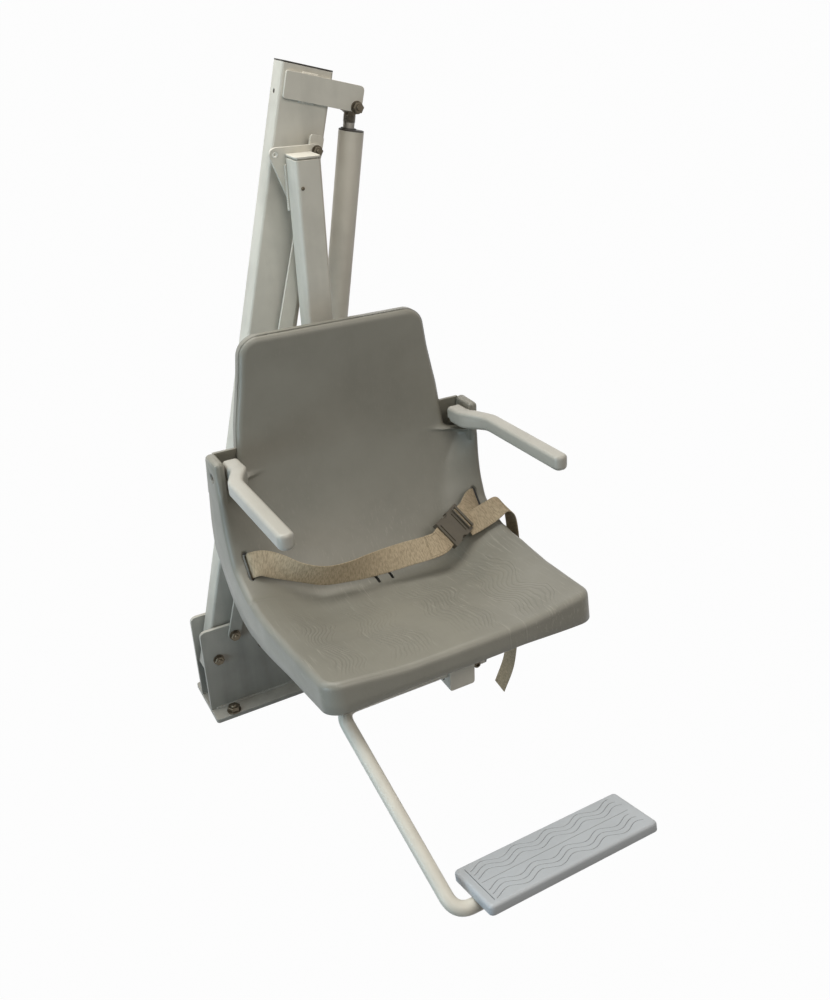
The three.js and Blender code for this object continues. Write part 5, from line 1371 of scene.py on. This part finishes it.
def strap_frames(stations, step=0.0035):
    """Run, place, width and face directions along a strap"""
    samples = smooth_line(stations)
    run = np.r_[0, np.cumsum([(b[0] - a[0]).length for a, b in zip(samples, samples[1:])])]
    places, widths = (np.array([list(v) for v in values]) for values in zip(*samples))
    where = np.linspace(0, run[-1], max(4, math.ceil(run[-1] / step)) + 1)
    place, width = columns_at(where, run, places), columns_at(where, run, widths)
    ahead = np.gradient(place, axis=0)
    ahead /= np.linalg.norm(ahead, axis=1)[:, None]
    width = width - ahead * (width * ahead).sum(1)[:, None]
    width /= np.linalg.norm(width, axis=1)[:, None]
    return where, place, width, np.cross(ahead, width)


def strap_mesh(name, frames):
    """A woven strap with rounded selvedges, with its length and width as its UV map"""
    run, place, width, face = frames
    half, thick = sizes().strap_width / 2, sizes().strap_thickness / 2
    flat = [(share * (half - thick), thick) for share in np.linspace(-1, 1, 13)]
    side = [(half - thick + thick * math.sin(a), thick * math.cos(a)) for a in np.linspace(0, math.pi, 5)[1:-1]]
    ring = flat + side + [(-u, -v) for u, v in flat + side]
    count = len(ring)
    points = np.concatenate([place + width * u + face * v for u, v in ring], 1).reshape(-1, 3)
    mesh = mesh_from(name, points, ring_faces(len(place), count))
    layer = mesh.uv_layers.new(name="Weave")
    for loop in mesh.loops:
        row, column = divmod(loop.vertex_index, count)
        layer.data[loop.index].uv = (run[row], ring[column][0])
    return facing_out(mesh)


class LIFT_OT_lap_belt(bpy.types.Operator):
    """Weave the lap belt's three runs and sew the fold at the buckle"""

    bl_idname = "lift.lap_belt"
    bl_label = "Lap belt"

    fold_length, first_seam, last_seam, seam_inset = 0.052, 0.047, 0.012, 0.004

    def strap(self, name, frames, body, nodes=()):
        piece = new_object(name, strap_mesh(name, frames))
        shade_by_angle(piece, 50)
        return dress(piece, body, "webbing", nodes)

    def stitches(self, frames, lift):
        """Two rows across the strap and one along each edge of the sewn fold"""
        run, place, width, face = frames
        half = sizes().strap_width / 2 - self.seam_inset

        def at(back, across):
            spot, wide, out = (columns_at(run[-1] - back, run, table) for table in (place, width, face))
            return spot + wide * across + out * lift

        lines = [[at(back, share * half) for share in np.linspace(-1, 1, 9)]
                 for back in (self.first_seam, self.last_seam)]
        lines += [[at(back, side * half) for back in np.linspace(self.first_seam, self.last_seam, 8)]
                  for side in (-1, 1)]
        values = {"Pitch": sizes().stitch_pitch, "Length": sizes().stitch_length,
                  "Radius": sizes().stitch_radius, "Finish": material("thread")}
        piece = run_tree(new_object("belt_stitches", line_mesh("belt_stitches", lines)), stitch_tree(values), values)
        return dress(piece, "carriage", "thread")

    def fold(self, frames):
        """The webbing's end, turned back over the strap and sewn down"""
        run, place, width, face = frames
        keep = run > run[-1] - self.fold_length
        lifted = place[keep] + face[keep] * sizes().strap_thickness * 1.02
        return run[keep] - run[keep][0], lifted, width[keep], face[keep]

    def execute(self, context):
        width, end = sizes().strap_width, -BUCKLE_LENGTH / 2
        left = strap_frames(through_slot(-1)[::-1] + on_seat(LEFT_RUN) + [at_buckle(end - 0.024),
                                                                          at_buckle(end - GAP)])
        belt = self.strap("belt_left_webbing", left, "carriage", ["belt_left"])
        fold = self.strap("belt_left_fold", self.fold(left), "carriage")
        sewn = self.stitches(left, sizes().strap_thickness * 1.55)
        right = strap_frames([at_buckle(TONGUE_START + TONGUE_BAR, OVER_BAR),
                              at_buckle(TONGUE_START + TONGUE_FRAME + TONGUE_TRAVEL, OVER_BAR),
                              *on_seat([(0.84, 0.225, 0.18, 44)]), *through_slot(1)])
        belt = self.strap("belt_right_webbing", right, "carriage", ["belt_right"])
        tail = strap_frames(on_seat(TAIL_RUN) + on_seat(TAIL_END, twisted))
        belt = self.strap("belt_tail_webbing", tail, None, ["belt_tail"])
        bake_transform(belt)
        return {"FINISHED"}


class LIFT_OT_buckle(bpy.types.Operator):
    """Mould the side-release buckle"""

    bl_idname = "lift.buckle"
    bl_label = "Buckle"

    def block(self, name, low, high):
        """A block in the buckle's own frame"""
        points = [(x, y, z) for x in (low[0], high[0])
                  for y, z in ((low[1], low[2]), (high[1], low[2]), (high[1], high[2]), (low[1], high[2]))]
        return tool_object(name, [in_buckle(*point) for point in points], ring_faces(2, 4))

    def window(self, side):
        """A round tool through the buckle's thickness, at its edge"""
        centre = (0.004, side * (BUCKLE_WIDTH / 2 + 0.0045), 0)
        points, faces = lathe([(0.0, -0.02), (0.0105, -0.02), (0.0105, 0.02), (0.0, 0.02)], 40, centre, (0, 0, 1))
        return tool_object("window", [in_buckle(*point) for point in points], faces)

    def execute(self, context):
        edge, top, deep, long = sizes().buckle_edge, BUCKLE_DEPTH / 2, 0.0022, 0.022
        socket = new_object("buckle_socket_moulded", merged("buckle_socket", "buckle_socket_moulded"))
        before = len(socket.data.polygons)
        tools = [self.block("groove", (x - wide, -long, top - deep), (x + wide, long, top + 0.004))
                 for x, wide in ((-0.0205, 0.0016), (0.0205, 0.0014))]
        for tool in tools + [self.window(-1), self.window(1)]:
            combine(socket, tool, "DIFFERENCE")
        if len(socket.data.polygons) <= before:
            raise RuntimeError("the buckle's grooves and windows were not cut")
        shade_by_angle(socket, 45)
        add_bevel(socket, edge * 0.45)
        dress(socket, "carriage", "buckle_plastic", ["buckle_socket"])
        rounded_copy("buckle_tongue_moulded", "buckle_tongue", "tongue", "buckle_plastic", edge * 0.7, 35, 50)
        over, half = OVER_BAR + sizes().strap_thickness, 0.0262
        for number, (first, last, high) in enumerate(BUCKLE_BARS, 1):
            bar = self.block(f"buckle_bar_{number}", (TONGUE_START + first, -half, over),
                             (TONGUE_START + last, half, over + high))
            add_bevel(bar, 0.0012, 4)
            applied(bar)
            shade_by_angle(bar, 45)
            dress(bar, "tongue", "buckle_plastic")
        return {"FINISHED"}


# ---------------------------------------------------------------- stage, light and camera

# Each lamp's place, aim, size, power and tint
LAMPS = {
    "window": ((-1.35, 0.15, 1.7), (0.1, -0.3, 0.6), (1.0, 1.3), 8.5, (0.68, 0.88, 1.0)),
    "side": ((-1.6, -0.8, 0.35), (0.1, -0.4, 0.5), (0.9, 0.9), 13.0, (0.60, 0.83, 1.0)),
    "ceiling": ((-0.3, 0.5, 3.5), (0.25, -0.25, 0.5), (2.6, 2.6), 92.0, (1.0, 0.97, 0.92)),
    "front": ((0.5, -3.2, 3.3), (0.25, -0.2, 0.8), (2.2, 1.8), 46.0, (1.0, 0.96, 0.90)),
}
WHITE = (1.0, 1.0, 1.0, 1.0)


class LIFT_OT_stage(bpy.types.Operator):
    """Lay the plain floor and set the soft studio light and the camera"""

    bl_idname = "lift.stage"
    bl_label = "Stage"

    view_place = (-0.4201, -1.8515, 1.4894)
    view_yaw, view_pitch, view_roll = 31.11, 27.11, -0.42
    view_focal, view_centre, view_size = 1006.5, (482.7, 475.4), (830, 1000)
    floor_reach, floor_height, film_height, far_limit = 60.0, -0.0005, 36.0, 300.0

    def floor(self):
        corners = [(self.floor_reach * x, self.floor_reach * y, self.floor_height)
                   for x, y in ((-1, -1), (1, -1), (1, 1), (-1, 1))]
        floor = new_object("floor", mesh_from("floor", corners, [[0, 1, 2, 3]]))
        made = bpy.data.materials.new("floor")
        made.use_nodes = True
        tree = Tree(made.node_tree)
        tree.nodes.nodes.clear()
        matt = tree.out("ShaderNodeBsdfDiffuse", {"Color": paint("floor")})
        glow = tree.out("ShaderNodeEmission", {"Color": WHITE, "Strength": 1.0})
        both = tree.out("ShaderNodeMixShader", {0: tree.seen() * 0.98, 1: matt, 2: glow})
        tree.node("ShaderNodeOutputMaterial", {0: both})
        floor.data.materials.append(made)

    def lamp(self, name, place, aim, size, power, tint):
        light = bpy.data.lights.new(name, "AREA")
        light.shape = "RECTANGLE"
        light.size, light.size_y = size
        light.energy, light.color = power, tint
        lamp = new_object(name, light)
        lamp.location = place
        lamp.rotation_euler = (Vector(aim) - Vector(place)).to_track_quat("-Z", "Y").to_euler()

    def world(self):
        world = bpy.data.worlds.new("studio")
        world.use_nodes = True
        bpy.context.scene.world = world
        tree = Tree(world.node_tree)
        tree.nodes.nodes.clear()
        share = tree.seen().math("MINIMUM", 1.0)
        tint = tree.mix(share, (1.0, 0.95, 0.86, 1.0), WHITE)
        sky = tree.out("ShaderNodeBackground", {"Color": tint, "Strength": share * 0.77 + 0.23})
        tree.node("ShaderNodeOutputWorld", {0: sky})

    def camera(self):
        data = bpy.data.cameras.new("view")
        made = new_object("view", data)
        yaw, pitch, roll = (math.radians(a) for a in (self.view_yaw, self.view_pitch, self.view_roll))
        ahead = Vector((math.sin(yaw) * math.cos(pitch), math.cos(yaw) * math.cos(pitch), -math.sin(pitch)))
        right = Vector((math.cos(yaw), -math.sin(yaw), 0.0))
        turn = Matrix((right, right.cross(ahead), -ahead)).transposed() @ Matrix.Rotation(roll, 3, "Z")
        made.matrix_world = Matrix.Translation(self.view_place) @ turn.to_4x4()
        wide, high = self.view_size
        data.sensor_fit = "VERTICAL"
        data.sensor_height = self.film_height
        data.lens = self.view_focal * self.film_height / high
        data.shift_x = -(self.view_centre[0] - wide / 2) / high
        data.shift_y = (self.view_centre[1] - high / 2) / high
        data.clip_end = self.far_limit
        bpy.context.scene.camera = made

    def execute(self, context):
        self.floor()
        for name, lamp in LAMPS.items():
            self.lamp(name, *lamp)
        self.world()
        self.camera()
        bpy.context.scene.view_settings.view_transform = "Standard"
        return {"FINISHED"}


class LIFT_PT_panel(bpy.types.Panel):
    """The lift's pieces and sizes"""

    bl_idname = "LIFT_PT_panel"
    bl_label = "Pool patient lift"
    bl_space_type = "VIEW_3D"
    bl_region_type = "UI"
    bl_category = "Pool lift"

    def draw(self, context):
        for operator in OPERATORS:
            self.layout.operator(operator.bl_idname)
        for group in (context.scene.lift_sizes, context.scene.lift_colours):
            box = self.layout.box()
            for name in group.bl_rna.properties.keys():
                if name not in ("rna_type", "name"):
                    box.prop(group, name)


OPERATORS = (LIFT_OT_stage, LIFT_OT_coated_frame, LIFT_OT_weld_beads, LIFT_OT_actuator, LIFT_OT_fasteners,
             LIFT_OT_small_parts, LIFT_OT_seat_shell, LIFT_OT_arms, LIFT_OT_footrest, LIFT_OT_lap_belt,
             LIFT_OT_buckle)
CLASSES = (LiftSizes, LiftColours, *OPERATORS, LIFT_PT_panel)


def register():
    for item in CLASSES:
        bpy.utils.register_class(item)
    bpy.types.Scene.lift_sizes = bpy.props.PointerProperty(type=LiftSizes)
    bpy.types.Scene.lift_colours = bpy.props.PointerProperty(type=LiftColours)


def unregister():
    del bpy.types.Scene.lift_colours
    del bpy.types.Scene.lift_sizes
    for item in reversed(CLASSES):
        bpy.utils.unregister_class(item)


def main():
    register()
    for operator in OPERATORS:
        getattr(bpy.ops.lift, operator.bl_idname.split(".")[1])()


if __name__ == "__main__":
    main()
